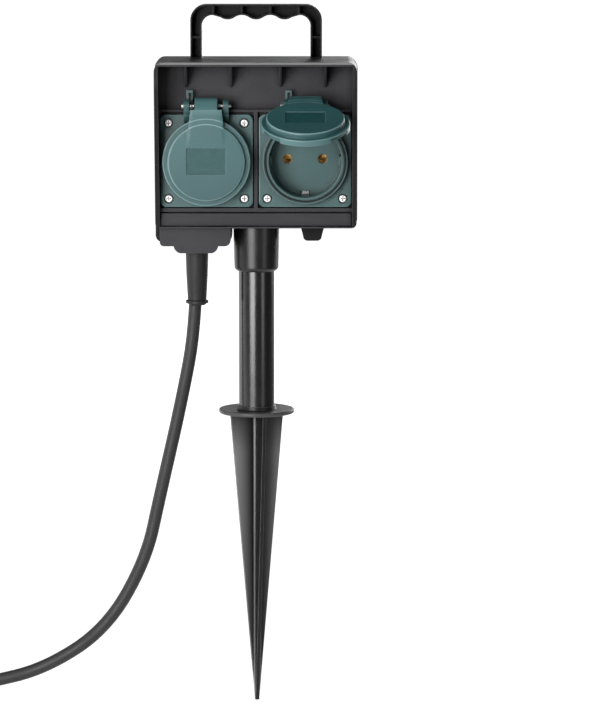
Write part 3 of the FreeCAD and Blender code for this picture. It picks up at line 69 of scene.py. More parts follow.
# Mains lead: one line from the strain relief to the plug, its spare length coiled.
CORD_DIAMETER = 0.007
CORD_STEPS = 8
CORD_ROUNDING = 6
FLOOR = -0.161
LEAD_ROUTE = [
    (-0.0324, 0.0990), (-0.0324, 0.0520), (-0.0418, 0.0030), (-0.0532, -0.0460),
    (-0.0610, -0.0820), (-0.0830, -0.1210), (-0.1175, -0.1438), (-0.1505, -0.1518),
    (-0.1780, -0.1565), (-0.2000, -0.1565),
]
COIL_RADIUS = 0.0445
COIL_STEP = 0.0078
COIL_CENTRE = (-0.2070, -0.0445)
COIL_LEVEL = -0.1565
COIL_LOW_TURNS = 1.75
COIL_CLIMB_TURNS = 0.5
COIL_POINTS = 20
PLUG_BACK = -0.2500
PLUG_LEVEL = -0.1426
PLUG_RUN = 0.012


def coil_route():
    """The coil's points: inwards on the floor, up half a turn, then outwards on top."""
    points = []
    swell = 2 / (1 + math.cos(math.pi / COIL_POINTS))
    inner = COIL_RADIUS - COIL_STEP * COIL_LOW_TURNS
    turns = 2 * COIL_LOW_TURNS + COIL_CLIMB_TURNS
    for number in range(1, round(turns * COIL_POINTS)):
        wound = number / COIL_POINTS
        if wound <= COIL_LOW_TURNS:
            radius, height = COIL_RADIUS - COIL_STEP * wound, 0
        elif wound <= COIL_LOW_TURNS + COIL_CLIMB_TURNS:
            part = wound - COIL_LOW_TURNS
            share = part / COIL_CLIMB_TURNS
            radius = inner - COIL_STEP * part + COIL_STEP * part**2 / COIL_CLIMB_TURNS
            height = COIL_STEP * (3 * share**2 - 2 * share**3)
        else:
            radius = inner + COIL_STEP * (wound - COIL_LOW_TURNS - COIL_CLIMB_TURNS)
            height = COIL_STEP
        angle = math.pi / 2 + 2 * math.pi * wound
        points.append((COIL_CENTRE[0] + radius * swell * math.cos(angle),
                       COIL_CENTRE[1] + radius * swell * math.sin(angle),
                       COIL_LEVEL + height))
    return points


def lay_cord():
    """The whole lead as one round cord, from the strain relief over the coil to the plug."""
    route = [(x, 0.0, z) for x, z in LEAD_ROUTE] + [(COIL_CENTRE[0], 0.0, COIL_LEVEL)]
    route += coil_route()
    leaving, top = COIL_CENTRE[0], COIL_LEVEL + COIL_STEP
    route += [(leaving, 0.0, top), (leaving - PLUG_RUN, 0.0, top),
              (leaving - 2 * PLUG_RUN, 0.0, PLUG_LEVEL), (PLUG_BACK, 0.0, PLUG_LEVEL)]
    data = bpy.data.curves.new("lead", "CURVE")
    data.dimensions = "3D"
    data.resolution_u = CORD_STEPS
    data.bevel_depth = 1.0
    data.bevel_resolution = CORD_ROUNDING
    data.use_fill_caps = True
    line = data.splines.new("NURBS")
    line.points.add(len(route) - 1)
    for point, place in zip(line.points, route):
        point.co = (*place, 1.0)
        point.radius = CORD_DIAMETER / 2
    line.order_u = 3
    line.use_endpoint_u = True
    lead = bpy.data.objects.new("lead", data)
    scene.collection.objects.link(lead)
    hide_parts("mains_cord", "cord_coil")
    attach(lead, "housing")
    return lead


lead = lay_cord()


def shade(colour, factor):
    """A colour made darker or paler by a factor."""
    return tuple(channel * factor for channel in colour)


# Moulded finishes: scales of their patterns, and where painted edge highlights and painted nook shade begin and
# end.
CLOUD_SCALE = 38
SPECK_RANGE = (0.62, 0.72)
GLOSS_SCALE = 70
WAVE_SCALE = 90
NOOK_REACH = 0.004
NOOK_RANGE = (0.35, 0.95)
PAINTED_NOOK_SHADE = 0.15
EDGE_HIGHLIGHT = 2.4
EDGE_TURNED = (0.84, 0.985)
EDGE_OPEN = (0.55, 0.80)
COAT_ROUGHNESS = 0.14

# Metal finishes, with painted shade in their nooks.
METAL_CLOUD = 420
METAL_TONES = (0.86, 1.06)
METAL_NOOK_REACH = 0.0012
METAL_NOOK_RANGE = (0.9, 0.0, 0.30, 0.90)
METAL_PAINTED_NOOK_SHADE = 0.12
METAL_EDGE = 0.00015
MARK_DEPTH = 0.000006

# Places on the lids, measured from their hinge and from the middle of their dish.
right_hinge = next(row for row in frame["joints"] if row["name"] == "right_lid_hinge")
LID_HINGE = tuple(right_hinge["pos_m"])
LID_REST_ANGLE = -right_hinge["range_deg"][0]
LID_DROP = 0.0300
LID_FRONT = -0.0052
LABEL_HALF_WIDTH = 0.0105
LABEL_HALF_HEIGHT = 0.0070
LABEL_LEVEL = 0.0006
LABEL_SOFT = 0.0001
LABEL_GRAIN = 420
LABEL_BLOTCHES = (0.78, 1.0, 0.38, 0.62)
LABEL_DULLER = 0.08
STRAP_EDGE = 0.0010
STRAP_MARGIN = 0.0005
STRAP_START = 0.0060
STRAP_TAPER = -0.115
STRAP_RISE = 0.00012
# Painted shade on the lower front of either lid.
LID_SHADE = 0.60
LID_SHADE_RANGE = (-0.0160, 0.0100)
# Painted highlight on the hinge barrel of either lid.
BARREL_HIGHLIGHT_SHARE = 0.25
BARREL_RANGE = (-0.0050, -0.0020)
# Painted highlight lines at these radii on the dish and the flange.
DISH_EDGE = 0.0204
DISH_HIGHLIGHT = 0.6
FLANGE_EDGE = 0.0233
FLANGE_HIGHLIGHT = 0.5
LINE_HALF = 0.0004

# Places on the socket plates and the housing.
PLATE_BORDER = 0.0247
PLATE_LEVEL = 0.1398
PLATE_FRONT = -0.0190
# Painted highlight line along each plate's border.
PLATE_HIGHLIGHT = 0.7
SIDE_WALL = (0.0514, 0.0519)
TOP_WALL = (0.1916, 0.1921)
BAY_TOP = 0.1034
RIM_SMOOTHER = 0.08
# A painted highlight line along the hood's lip, at this height.
RIM_LINE = 0.1932
RIM_LINE_HALF = 0.0010
RIM_HIGHLIGHT_SHARE = 0.8
RIM_FRONT = -0.0408

# Places on the spike, whose blades are turned against the housing.
SPIKE_TURN = 17.7
SPIKE_TOP = -0.0005
# Painted sheen on the wings, weaker under the flange as painted shadow, and painted highlights on the blade roots
# and the flange.
WING_RANGE = (0.0030, 0.0120)
UNDER_FLANGE = (-0.0220, -0.0030)
UNDER_FLANGE_SHADOW_SHARE = 0.25
BLADE_ROOT = 0.0017
BLADE_ROOT_HALF = 0.0006
BLADE_REACH = 0.0026
FLANGE_RANGE = (0.0130, 0.0206)
FLANGE_BOTTOM = -0.0003

# Tones of the painted highlights, painted sheen and painted shade, of the housing's outer walls and of the label
# places.
RIM_HIGHLIGHT_TONE = (0.260, 0.260, 0.262)
RIM_TONE = (0.011, 0.011, 0.012)
SPIKE_SHEEN_TONE = (0.200, 0.200, 0.202)
ROOT_HIGHLIGHT_TONE = shade(SPIKE_SHEEN_TONE, 1.5)
FLANGE_HIGHLIGHT_TONE = shade(SPIKE_SHEEN_TONE, 0.35)
LABEL_TONE = (0.004, 0.064, 0.066)
LOW_LID_SHADE_TONE = (0.016, 0.072, 0.078)
BLACK_HIGHLIGHT = (0.110, 0.110, 0.112)
GREEN_HIGHLIGHT = (0.190, 0.330, 0.330)
HIGHLIGHT_LINE_TONE = (0.300, 0.460, 0.460)


class Finish:
    """A material whose colour, gloss and grain come from noise on the object's own place."""

    def __init__(self, name):
        self.material = bpy.data.materials.new(name)
        self.material.use_nodes = True
        self.nodes = self.material.node_tree.nodes
        self.links = self.material.node_tree.links
        self.nodes.clear()
        output = self.nodes.new("ShaderNodeOutputMaterial")
        self.shader = self.nodes.new("ShaderNodeBsdfPrincipled")
        self.links.new(self.shader.outputs[0], output.inputs["Surface"])
        self.place = self.nodes.new("ShaderNodeTexCoord").outputs["Object"]

    def join(self, source, target):
        """A wire between two sockets."""
        self.links.new(source, target)

    def noise(self, scale, detail=2.0, stretch=None):
        """Cloudy noise in the object's own space, drawn out along an axis if stretched."""
        source = self.place
        if stretch:
            mapping = self.nodes.new("ShaderNodeMapping")
            mapping.inputs["Scale"].default_value = stretch
            self.join(source, mapping.inputs["Vector"])
            source = mapping.outputs["Vector"]
        node = self.nodes.new("ShaderNodeTexNoise")
        node.inputs["Scale"].default_value = scale
        node.inputs["Detail"].default_value = detail
        self.join(source, node.inputs["Vector"])
        return node.outputs["Fac"]

    def spread(self, source, low, high, start=0.3, end=0.7):
        """A value that runs from low at the start to high at the end, and stays there."""
        node = self.nodes.new("ShaderNodeMapRange")
        node.inputs["From Min"].default_value = start
        node.inputs["From Max"].default_value = end
        node.inputs["To Min"].default_value = low
        node.inputs["To Max"].default_value = high
        self.join(source, node.inputs["Value"])
        return node.outputs["Result"]

    def blend(self, factor, first, second):
        """A colour between two others, each a plain colour or another blend."""
        node = self.nodes.new("ShaderNodeMix")
        node.data_type = "RGBA"
        self.join(factor, node.inputs["Factor"])
        colours = [s for s in node.inputs if s.type == "RGBA"]
        for value, socket in ((first, colours[0]), (second, colours[1])):
            if isinstance(value, tuple):
                socket.default_value = (*value, 1.0)
            else:
                self.join(value, socket)
        return next(s for s in node.outputs if s.type == "RGBA")

    def math(self, operation, first, second=0.0):
        """One sum on two values, each a number or a socket."""
        node = self.nodes.new("ShaderNodeMath")
        node.operation = operation
        for value, socket in zip((first, second), node.inputs):
            if isinstance(value, float):
                socket.default_value = value
            else:
                self.join(value, socket)
        return node.outputs[0]

    def band(self, source, middle, half):
        """1 where a value is at the middle, falling to 0 at half a width from it."""
        away = self.math("ABSOLUTE", self.math("SUBTRACT", source, middle))
        return self.spread(away, 1.0, 0.0, half * 0.3, half)

    def times(self, first, *others):
        """The product of several values."""
        for other in others:
            first = self.math("MULTIPLY", first, other)
        return first

    def length(self, first, second):
        """How far a place is from the middle, by two of its measures."""
        squares = self.math("ADD", self.times(first, first), self.times(second, second))
        return self.math("SQRT", squares)

    def split(self, vector):
        """A place's three measures."""
        node = self.nodes.new("ShaderNodeSeparateXYZ")
        self.join(vector, node.inputs[0])
        return node.outputs["X"], node.outputs["Y"], node.outputs["Z"]

    def round_edges(self, radius):
        """A normal that eases every sharp edge by a radius."""
        node = self.nodes.new("ShaderNodeBevel")
        node.samples = 4
        node.inputs["Radius"].default_value = radius
        return node.outputs["Normal"]

    def openness(self, reach):
        """How free the surface is of neighbours within a reach: 1 in the open, 0 in a nook."""
        node = self.nodes.new("ShaderNodeAmbientOcclusion")
        node.samples = 6
        node.inputs["Distance"].default_value = reach
        return node.outputs["AO"]

    def outer_edges(self, eased, openness):
        """Where an edge stands proud: its eased normal leaves the face's own in the open."""
        own = self.nodes.new("ShaderNodeNewGeometry").outputs["Normal"]
        node = self.nodes.new("ShaderNodeVectorMath")
        node.operation = "DOT_PRODUCT"
        self.join(eased, node.inputs[0])
        self.join(own, node.inputs[1])
        turned = self.spread(node.outputs["Value"], 1.0, 0.0, *EDGE_TURNED)
        return self.times(turned, self.spread(openness, 0.0, 1.0, *EDGE_OPEN))

    def bump(self, height, depth, normal=None):
        """A normal raised by a height pattern of some depth."""
        node = self.nodes.new("ShaderNodeBump")
        node.inputs["Distance"].default_value = depth
        self.join(height, node.inputs["Height"])
        if normal is not None:
            self.join(normal, node.inputs["Normal"])
        return node.outputs["Normal"]


def moulded(name, colour, gloss, grain=3800, grain_depth=0.00003, wave_depth=0.0, edge=0.0006,
            specular=0.4, tint=0.10, highlight_tone=None, highlight_share=0.8, nook=0.55, masks=None,
            coat=0.0):
    """Moulded plastic or rubber: cloudy tone, uneven gloss, fine grain, painted highlights on proud edges, painted
    shade in nooks.
    """
    finish = Finish(name)
    cloud = finish.spread(finish.noise(CLOUD_SCALE, 4), 0.0, 1.0)
    tone = finish.blend(cloud, shade(colour, 1 - tint), shade(colour, 1 + tint))
    speck = finish.spread(finish.noise(grain / 3, 1), 0.0, 1.0, *SPECK_RANGE)
    tone = finish.blend(speck, tone, shade(colour, 1 + 2 * tint))
    roughness = finish.spread(finish.noise(GLOSS_SCALE, 3), *gloss)
    normal = finish.round_edges(edge)
    openness = finish.openness(NOOK_REACH)
    edge_highlight = finish.times(finish.outer_edges(normal, openness), highlight_share)
    if wave_depth:
        normal = finish.bump(finish.noise(WAVE_SCALE, 1), wave_depth, normal)
    if masks:
        tone, roughness, normal = masks(finish, tone, roughness, normal)
    # Painted shade: darker in nooks close to other surfaces.
    tone = finish.blend(finish.spread(openness, nook, 0.0, *NOOK_RANGE), tone,
                        shade(colour, PAINTED_NOOK_SHADE))
    # Painted highlight: proud edges made paler, standing in for light caught on them.
    tone = finish.blend(edge_highlight, tone, highlight_tone or shade(colour, EDGE_HIGHLIGHT))
    normal = finish.bump(finish.noise(grain, 2), grain_depth, normal)
    finish.join(tone, finish.shader.inputs["Base Color"])
    finish.join(roughness, finish.shader.inputs["Roughness"])
    finish.join(normal, finish.shader.inputs["Normal"])
    finish.shader.inputs["Specular IOR Level"].default_value = specular
    finish.shader.inputs["Coat Weight"].default_value = coat
    finish.shader.inputs["Coat Roughness"].default_value = COAT_ROUGHNESS
    return finish.material


def on_lid(finish):
    """A place on either lid: to the side of its middle, in front of its hinge, above its hinge."""
    x, y, z = finish.split(finish.place)
    join = finish.nodes.new("ShaderNodeCombineXYZ")
    finish.join(finish.math("SUBTRACT", finish.math("ABSOLUTE", x), LID_HINGE[0]), join.inputs[0])
    finish.join(finish.math("SUBTRACT", y, LID_HINGE[1]), join.inputs[1])
    finish.join(finish.math("SUBTRACT", z, LID_HINGE[2]), join.inputs[2])
    turn = finish.nodes.new("ShaderNodeVectorRotate")
    turn.rotation_type = "X_AXIS"
    finish.join(join.outputs[0], turn.inputs["Vector"])
    right = finish.math("GREATER_THAN", x, 0.0)
    finish.join(finish.times(right, math.radians(LID_REST_ANGLE)), turn.inputs["Angle"])
    across, depth, level = finish.split(turn.outputs[0])
    return finish.math("ABSOLUTE", across), depth, level


def lid_masks(finish, tone, roughness, normal):
    """Either lid's strap, its grained label place, painted shade on its lower front, a painted highlight on its
    hinge barrel, and painted highlight lines on the edges of its dish and flange.
    """
    across, depth, level = on_lid(finish)
    up = finish.math("ADD", level, LID_DROP - LABEL_LEVEL)
    front = finish.math("LESS_THAN", depth, LID_FRONT)
    inside = finish.times(
        finish.spread(across, 1.0, 0.0, LABEL_HALF_WIDTH - LABEL_SOFT, LABEL_HALF_WIDTH),
        finish.spread(finish.math("ABSOLUTE", up), 1.0, 0.0,
                      LABEL_HALF_HEIGHT - LABEL_SOFT, LABEL_HALF_HEIGHT), front)
    # Painted shade: either lid darker towards the lower part of its front.
    lower = finish.times(finish.spread(up, LID_SHADE, 0.0, *LID_SHADE_RANGE), front)
    tone = finish.blend(lower, tone, LOW_LID_SHADE_TONE)
    blotch = finish.spread(finish.noise(LABEL_GRAIN, 2), *LABEL_BLOTCHES)
    tone = finish.blend(finish.times(inside, blotch), tone, LABEL_TONE)
    roughness = finish.math("ADD", roughness, finish.times(inside, LABEL_DULLER))
    # Painted highlight on the hinge barrel.
    tone = finish.blend(finish.spread(level, 0.0, BARREL_HIGHLIGHT_SHARE, *BARREL_RANGE), tone, GREEN_HIGHLIGHT)
    radius = finish.length(across, finish.math("ADD", up, LABEL_LEVEL))
    # Painted highlight lines round the dish's edge and the flange's edge.
    dish = finish.times(finish.band(radius, DISH_EDGE, LINE_HALF), front, DISH_HIGHLIGHT)
    tone = finish.blend(dish, tone, HIGHLIGHT_LINE_TONE)
    flange = finish.times(finish.band(radius, FLANGE_EDGE, LINE_HALF), FLANGE_HIGHLIGHT)
    tone = finish.blend(flange, tone, HIGHLIGHT_LINE_TONE)
    half = finish.math("ADD", LABEL_HALF_WIDTH + STRAP_MARGIN, finish.times(up, STRAP_TAPER))
    beyond = finish.math("SUBTRACT", across, half)
    raised = finish.spread(beyond, 1.0, 0.0, -STRAP_EDGE, STRAP_EDGE)
    above = finish.spread(up, 0.0, 1.0, LABEL_HALF_HEIGHT + STRAP_MARGIN,
                          LABEL_HALF_HEIGHT + STRAP_START)
    plateau = finish.times(raised, above, front)
    return tone, roughness, finish.bump(plateau, STRAP_RISE, normal)


def plate_masks(finish, tone, roughness, normal):
    """A painted highlight line along the border of either socket plate."""
    x, y, z = finish.split(finish.place)
    across = finish.math("SUBTRACT", finish.math("ABSOLUTE", x), LID_HINGE[0])
    up = finish.math("SUBTRACT", z, PLATE_LEVEL)
    reach = finish.math("MAXIMUM", finish.math("ABSOLUTE", across), finish.math("ABSOLUTE", up))
    border = finish.times(finish.band(reach, PLATE_BORDER, LINE_HALF),
                          finish.math("LESS_THAN", y, PLATE_FRONT), PLATE_HIGHLIGHT)
    return finish.blend(border, tone, GREEN_HIGHLIGHT), roughness, normal


def rim_masks(finish, tone, roughness, normal):
    """The housing's outer walls, blacker than its grained inside, and a painted highlight line along the hood's
    lip.
    """
    x, y, z = finish.split(finish.place)
    beside = finish.spread(finish.math("ABSOLUTE", x), 0.0, 1.0, *SIDE_WALL)
    above = finish.spread(z, 0.0, 1.0, *TOP_WALL)
    outside = finish.times(finish.math("MAXIMUM", beside, above),
                           finish.math("GREATER_THAN", z, BAY_TOP))
    tone = finish.blend(outside, tone, RIM_TONE)
    roughness = finish.math("SUBTRACT", roughness, finish.times(outside, RIM_SMOOTHER))
    # Painted highlight line along the hood's lip.
    line = finish.times(finish.band(z, RIM_LINE, RIM_LINE_HALF),
                        finish.math("LESS_THAN", y, RIM_FRONT), RIM_HIGHLIGHT_SHARE)
    return finish.blend(line, tone, RIM_HIGHLIGHT_TONE), roughness, normal


def spike_masks(finish, tone, roughness, normal):
    """Painted sheen on the spike's wings, weaker under the flange as painted shadow, and painted highlights on the
    blade roots and on the flange's outer ring.
    """
    turn = finish.nodes.new("ShaderNodeVectorRotate")
    turn.rotation_type = "Z_AXIS"
    turn.inputs["Angle"].default_value = math.radians(-SPIKE_TURN)
    finish.join(finish.place, turn.inputs["Vector"])
    x, y, z = finish.split(turn.outputs[0])
    low = finish.math("LESS_THAN", z, SPIKE_TOP)
    out = finish.math("ABSOLUTE", x)
    # Painted sheen on the wings, weakened under the flange as painted shadow.
    wing = finish.times(finish.spread(out, 0.0, 1.0, *WING_RANGE), low,
                        finish.spread(z, 1.0, UNDER_FLANGE_SHADOW_SHARE, *UNDER_FLANGE))
    tone = finish.blend(wing, tone, SPIKE_SHEEN_TONE)
    # Painted highlight lines along the blade roots.
    root = finish.times(finish.band(out, BLADE_ROOT, BLADE_ROOT_HALF),
                        finish.math("LESS_THAN", finish.math("ABSOLUTE", y), BLADE_REACH), low)
    tone = finish.blend(root, tone, ROOT_HIGHLIGHT_TONE)
    # Painted highlight on the flange's outer ring and rim.
    flange = finish.times(finish.spread(finish.length(x, y), 0.0, 1.0, *FLANGE_RANGE),
                          finish.math("GREATER_THAN", z, FLANGE_BOTTOM))
    return finish.blend(flange, tone, FLANGE_HIGHLIGHT_TONE), roughness, normal


def plated(name, colour, gloss, stretch=None, grain=2600):
    """Bare or plated metal with fine drawing marks and painted shade in its nooks."""
    finish = Finish(name)
    cloud = finish.spread(finish.noise(METAL_CLOUD, 3), 0.0, 1.0)
    tone = finish.blend(cloud, *(shade(colour, factor) for factor in METAL_TONES))
    # Painted shade: the metal darker in its nooks.
    nook = finish.spread(finish.openness(METAL_NOOK_REACH), *METAL_NOOK_RANGE)
    tone = finish.blend(nook, tone, shade(colour, METAL_PAINTED_NOOK_SHADE))
    finish.join(tone, finish.shader.inputs["Base Color"])
    marks = finish.noise(grain, 2, stretch)
    finish.join(finish.spread(marks, *gloss), finish.shader.inputs["Roughness"])
    normal = finish.bump(marks, MARK_DEPTH, finish.round_edges(METAL_EDGE))
    finish.join(normal, finish.shader.inputs["Normal"])
    finish.shader.inputs["Metallic"].default_value = 1.0
    return finish.material


FINISHES = {
    "shell_plastic": moulded("shell_plastic", (0.041, 0.040, 0.045), (0.46, 0.58), 3400, 0.00005,
                             specular=0.2, nook=0.85, highlight_tone=BLACK_HIGHLIGHT, masks=rim_masks),
    "cover_plastic": moulded("cover_plastic", (0.009, 0.009, 0.010), (0.34, 0.46), 3400,
                             0.00004, specular=0.13, highlight_tone=shade(BLACK_HIGHLIGHT, 0.7)),
    "sleeve_plastic": moulded("sleeve_plastic", (0.006, 0.006, 0.007), (0.24, 0.34), 4200, 0.00001,
                              0.00002, specular=0.55, highlight_tone=shade(BLACK_HIGHLIGHT, 0.7)),
    "tube_finish": moulded("tube_finish", (0.005, 0.005, 0.006), (0.17, 0.25), 4200, 0.000006,
                           0.00002, specular=0.85, highlight_tone=shade(BLACK_HIGHLIGHT, 0.7)),
    "spike_plastic": moulded("spike_plastic", (0.006, 0.006, 0.007), (0.32, 0.44), 4000, 0.00002,
                             highlight_tone=shade(BLACK_HIGHLIGHT, 1.8), highlight_share=0.9, specular=0.28,
                             masks=spike_masks),
    "relief_rubber": moulded("relief_rubber", (0.013, 0.013, 0.014), (0.50, 0.62), 3600, 0.00003),
    "socket_plastic": moulded("socket_plastic", (0.038, 0.104, 0.104), (0.40, 0.48), 3800, 0.00002,
                              0.00003, specular=0.6, tint=0.06, highlight_tone=GREEN_HIGHLIGHT, nook=0.75,
                              masks=plate_masks, coat=0.15),
    "lid_plastic": moulded("lid_plastic", (0.031, 0.113, 0.119), (0.40, 0.48), 3800, 0.00002,
                           0.00004, specular=0.6, tint=0.07, highlight_tone=GREEN_HIGHLIGHT, nook=0.5,
                           masks=lid_masks, coat=0.15),
    "carrier_plastic": moulded("carrier_plastic", (0.58, 0.56, 0.50), (0.42, 0.55), 3600, 0.00002,
                               tint=0.04, highlight_share=0.2),
    "contact_brass": plated("contact_brass", (0.62, 0.44, 0.19), (0.22, 0.36)),
    "clip_steel": plated("clip_steel", (0.58, 0.58, 0.56), (0.24, 0.38), (1, 1, 0.08)),
    "seal_rubber": moulded("seal_rubber", (0.010, 0.010, 0.011), (0.62, 0.74), 2600, 0.00004,
                           highlight_share=0.3),
    "pin_steel": plated("pin_steel", (0.80, 0.80, 0.79), (0.34, 0.46), (0.08, 1, 1)),
    "spring_steel": plated("spring_steel", (0.50, 0.50, 0.50), (0.20, 0.34)),
    "screw_nickel": plated("screw_nickel", (0.90, 0.89, 0.88), (0.44, 0.56)),
    "pin_nickel": plated("pin_nickel", (0.74, 0.73, 0.70), (0.12, 0.22), (1, 0.08, 1)),
    "cord_sheath": moulded("cord_sheath", (0.026, 0.026, 0.027), (0.46, 0.58), 3000, 0.00003,
                           0.00002, highlight_share=0.0),
    "tie_plastic": moulded("tie_plastic", (0.015, 0.015, 0.015), (0.40, 0.52), 3000, 0.00003),
    "plug_rubber": moulded("plug_rubber", (0.016, 0.016, 0.017), (0.48, 0.60), 3200, 0.00004),
}


def dress_nodes():
    """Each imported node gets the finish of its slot."""
    slots = {row["node"]: row["material_slot"] for row in frame["record"]["subparts"]}
    for name, node in frame["nodes"].items():
        finish = FINISHES[slots[name]]
        if not node.material_slots:
            node.data.materials.append(finish)
        for held in node.material_slots:
            held.material = finish
    lead.data.materials.append(FINISHES["cord_sheath"])


dress_nodes()


# Studio: a pale floor that darkens towards the camera and the right, and a dim world.
FLOOR_HALF = 14.0
FLOOR_GAP = 0.0004
FLOOR_TONE = 0.55
FLOOR_FRONT = 0.30
FLOOR_GLOW = 0.75
FLOOR_NEAR = (-0.80, -0.30)
FLOOR_FAR = (0.10, 1.30)
FLOOR_ASIDE = (1.0, -0.12, 0.0)
FLOOR_BESIDE = (0.28, 0.50)
WALL_HEADING = (-0.31, 0.95, 0.0)
WALL_EDGE = (0.45, 0.85)
WALL_TOP = (0.11, 0.20)
WORLD_DIM = 0.10
WORLD_WHITE = 1.0


def white_to_the_eye(tree, plain, seen):
    """Mixes two shaders: plain for light that falls on the object, seen for its background."""
    nodes, links = tree.nodes, tree.links
    path = nodes.new("ShaderNodeLightPath")
    first = nodes.new("ShaderNodeMath")
    first.operation = "MAXIMUM"
    links.new(path.outputs["Is Camera Ray"], first.inputs[0])
    links.new(path.outputs["Is Glossy Ray"], first.inputs[1])
    second = nodes.new("ShaderNodeMath")
    second.operation = "MAXIMUM"
    links.new(first.outputs[0], second.inputs[0])
    links.new(path.outputs["Is Transmission Ray"], second.inputs[1])
    mix = nodes.new("ShaderNodeMixShader")
    links.new(second.outputs[0], mix.inputs["Fac"])
    links.new(plain.outputs[0], mix.inputs[1])
    links.new(seen.outputs[0], mix.inputs[2])
    return mix


def ramp(tree, source, start, end, low, high):
    """A smooth step of a value between two others."""
    node = tree.nodes.new("ShaderNodeMapRange")
    node.interpolation_type = "SMOOTHSTEP"
    for name, value in (("From Min", start), ("From Max", end), ("To Min", low), ("To Max", high)):
        node.inputs[name].default_value = value
    tree.links.new(source, node.inputs["Value"])
    return node.outputs["Result"]


def product(tree, first, second):
    """The product of two values of the floor's or the world's."""
    node = tree.nodes.new("ShaderNodeMath")
    node.operation = "MULTIPLY"
    tree.links.new(first, node.inputs[0])
    tree.links.new(second, node.inputs[1])
    return node.outputs[0]


def lay_floor():
    """A pale floor that runs out to white behind the object, with its shadow on it."""
    material = bpy.data.materials.new("studio_floor")
    material.use_nodes = True
    tree = material.node_tree
    tree.nodes.clear()
    output = tree.nodes.new("ShaderNodeOutputMaterial")
    place = tree.nodes.new("ShaderNodeTexCoord").outputs["Object"]
    split = tree.nodes.new("ShaderNodeSeparateXYZ")
    tree.links.new(place, split.inputs[0])
    plain = tree.nodes.new("ShaderNodeBsdfDiffuse")
    glow = tree.nodes.new("ShaderNodeEmission")
    near = ramp(tree, split.outputs["Y"], *FLOOR_NEAR, 0.0, FLOOR_GLOW)
    far = ramp(tree, split.outputs["Y"], *FLOOR_FAR, 1.0, 1.0 / FLOOR_GLOW)
    aside = tree.nodes.new("ShaderNodeVectorMath")
    aside.operation = "DOT_PRODUCT"
    aside.inputs[1].default_value = FLOOR_ASIDE
    tree.links.new(place, aside.inputs[0])
    beside = ramp(tree, aside.outputs["Value"], *FLOOR_BESIDE, 1.0, 0.0)
    tone = tree.nodes.new("ShaderNodeCombineColor")
    pale = product(tree, ramp(tree, split.outputs["Y"], *FLOOR_NEAR, 0.0, 1.0), beside)
    grey = ramp(tree, pale, 0.0, 1.0, FLOOR_FRONT, FLOOR_TONE)
    for socket in tone.inputs:
        tree.links.new(grey, socket)
    tree.links.new(tone.outputs[0], plain.inputs["Color"])
    tree.links.new(product(tree, product(tree, near, far), beside), glow.inputs["Strength"])
    lit = tree.nodes.new("ShaderNodeBsdfDiffuse")
    tree.links.new(tone.outputs[0], lit.inputs["Color"])
    both = tree.nodes.new("ShaderNodeAddShader")
    tree.links.new(glow.outputs[0], both.inputs[0])
    tree.links.new(lit.outputs[0], both.inputs[1])
    mix = white_to_the_eye(tree, plain, both)
    tree.links.new(mix.outputs[0], output.inputs["Surface"])
    mesh = bpy.data.meshes.new("studio_floor")
    corners = [(-FLOOR_HALF, -FLOOR_HALF), (FLOOR_HALF, -FLOOR_HALF),
               (FLOOR_HALF, FLOOR_HALF), (-FLOOR_HALF, FLOOR_HALF)]
    mesh.from_pydata([(x, y, FLOOR - FLOOR_GAP) for x, y in corners], [], [(0, 1, 2, 3)])
    mesh.materials.append(material)
    floor = bpy.data.objects.new("studio_floor", mesh)
    scene.collection.objects.link(floor)


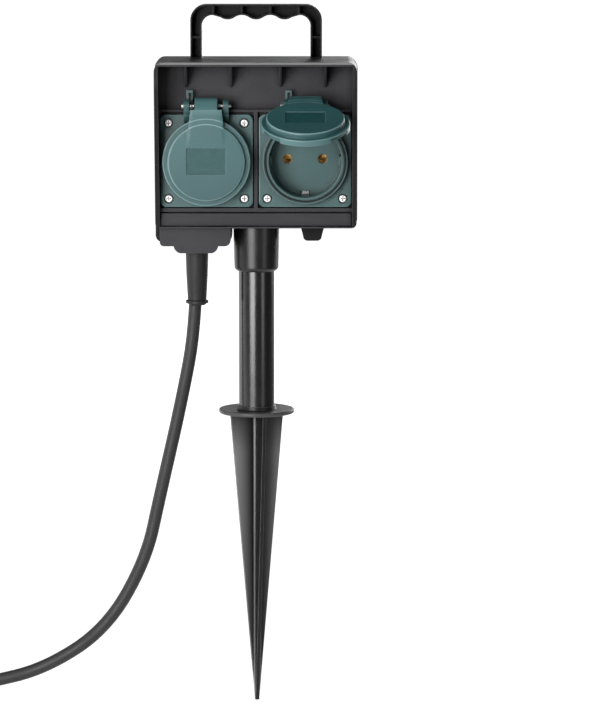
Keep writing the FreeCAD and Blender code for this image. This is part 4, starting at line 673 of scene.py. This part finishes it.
def light_world():
    """A dim studio with a low white wall at the back left."""
    world = bpy.data.worlds.new("studio")
    scene.world = world
    world.use_nodes = True
    tree = world.node_tree
    tree.nodes.clear()
    output = tree.nodes.new("ShaderNodeOutputWorld")
    place = tree.nodes.new("ShaderNodeTexCoord").outputs["Generated"]
    split = tree.nodes.new("ShaderNodeSeparateXYZ")
    tree.links.new(place, split.inputs[0])
    toward = tree.nodes.new("ShaderNodeVectorMath")
    toward.operation = "DOT_PRODUCT"
    toward.inputs[1].default_value = WALL_HEADING
    tree.links.new(place, toward.inputs[0])
    around = ramp(tree, toward.outputs["Value"], *WALL_EDGE, 0.0, 1.0)
    below = ramp(tree, split.outputs["Z"], *WALL_TOP, 1.0, 0.0)
    light = ramp(tree, product(tree, around, below), 0.0, 1.0, WORLD_DIM, WORLD_WHITE)
    plain = tree.nodes.new("ShaderNodeBackground")
    plain.inputs["Color"].default_value = (1, 1, 1, 1)
    tree.links.new(light, plain.inputs["Strength"])
    tree.links.new(plain.outputs[0], output.inputs["Surface"])


def stand_lamp(name, turn, distance, width, low, high, radiance):
    """An upright soft panel that faces the post. turn is to the right of the camera."""
    data = bpy.data.lights.new(name, "AREA")
    data.shape = "RECTANGLE"
    data.size, data.size_y = width, high - low
    data.energy = radiance * math.pi * width * (high - low)
    lamp = bpy.data.objects.new(name, data)
    scene.collection.objects.link(lamp)
    across = math.radians(turn)
    lamp.location = (distance * math.sin(across), -distance * math.cos(across), (low + high) / 2)
    lamp.rotation_euler = (math.radians(90), 0, across)


def hang_lamp(name, turn, rise, distance, width, height, radiance, target=(0, 0, 0.12)):
    """A small lamp aimed down at the post, for the edges that face it."""
    data = bpy.data.lights.new(name, "AREA")
    data.shape = "RECTANGLE"
    data.size, data.size_y = width, height
    data.energy = radiance * math.pi * width * height
    lamp = bpy.data.objects.new(name, data)
    scene.collection.objects.link(lamp)
    across, up = math.radians(turn), math.radians(rise)
    offset = (math.sin(across) * math.cos(up), -math.cos(across) * math.cos(up), math.sin(up))
    lamp.location = [t + distance * o for t, o in zip(target, offset)]
    lamp.rotation_euler = (math.radians(90) - up, 0, across)


lay_floor()
light_world()

# Each lamp: its turn, distance and width, its lower and upper edge, and its radiance.
stand_lamp("key_lamp", -25, 1.5, 0.80, -0.15, 0.60, 11.0)
stand_lamp("rim_lamp", -72, 1.5, 0.18, 0.00, 0.90, 4.0)
stand_lamp("left_lamp", -105, 1.5, 1.00, -0.15, 0.80, 1.6)
stand_lamp("side_lamp", 42, 1.6, 0.45, -0.15, 0.60, 2.8)
stand_lamp("back_lamp", 160, 2.0, 1.20, -0.10, 1.00, 4.0)
stand_lamp("far_lamp", 128, 2.0, 0.70, -0.10, 0.90, 3.5)

# Its turn and rise, distance, width and height, and radiance.
hang_lamp("edge_lamp", -50, 50, 1.6, 0.20, 0.20, 40.0)
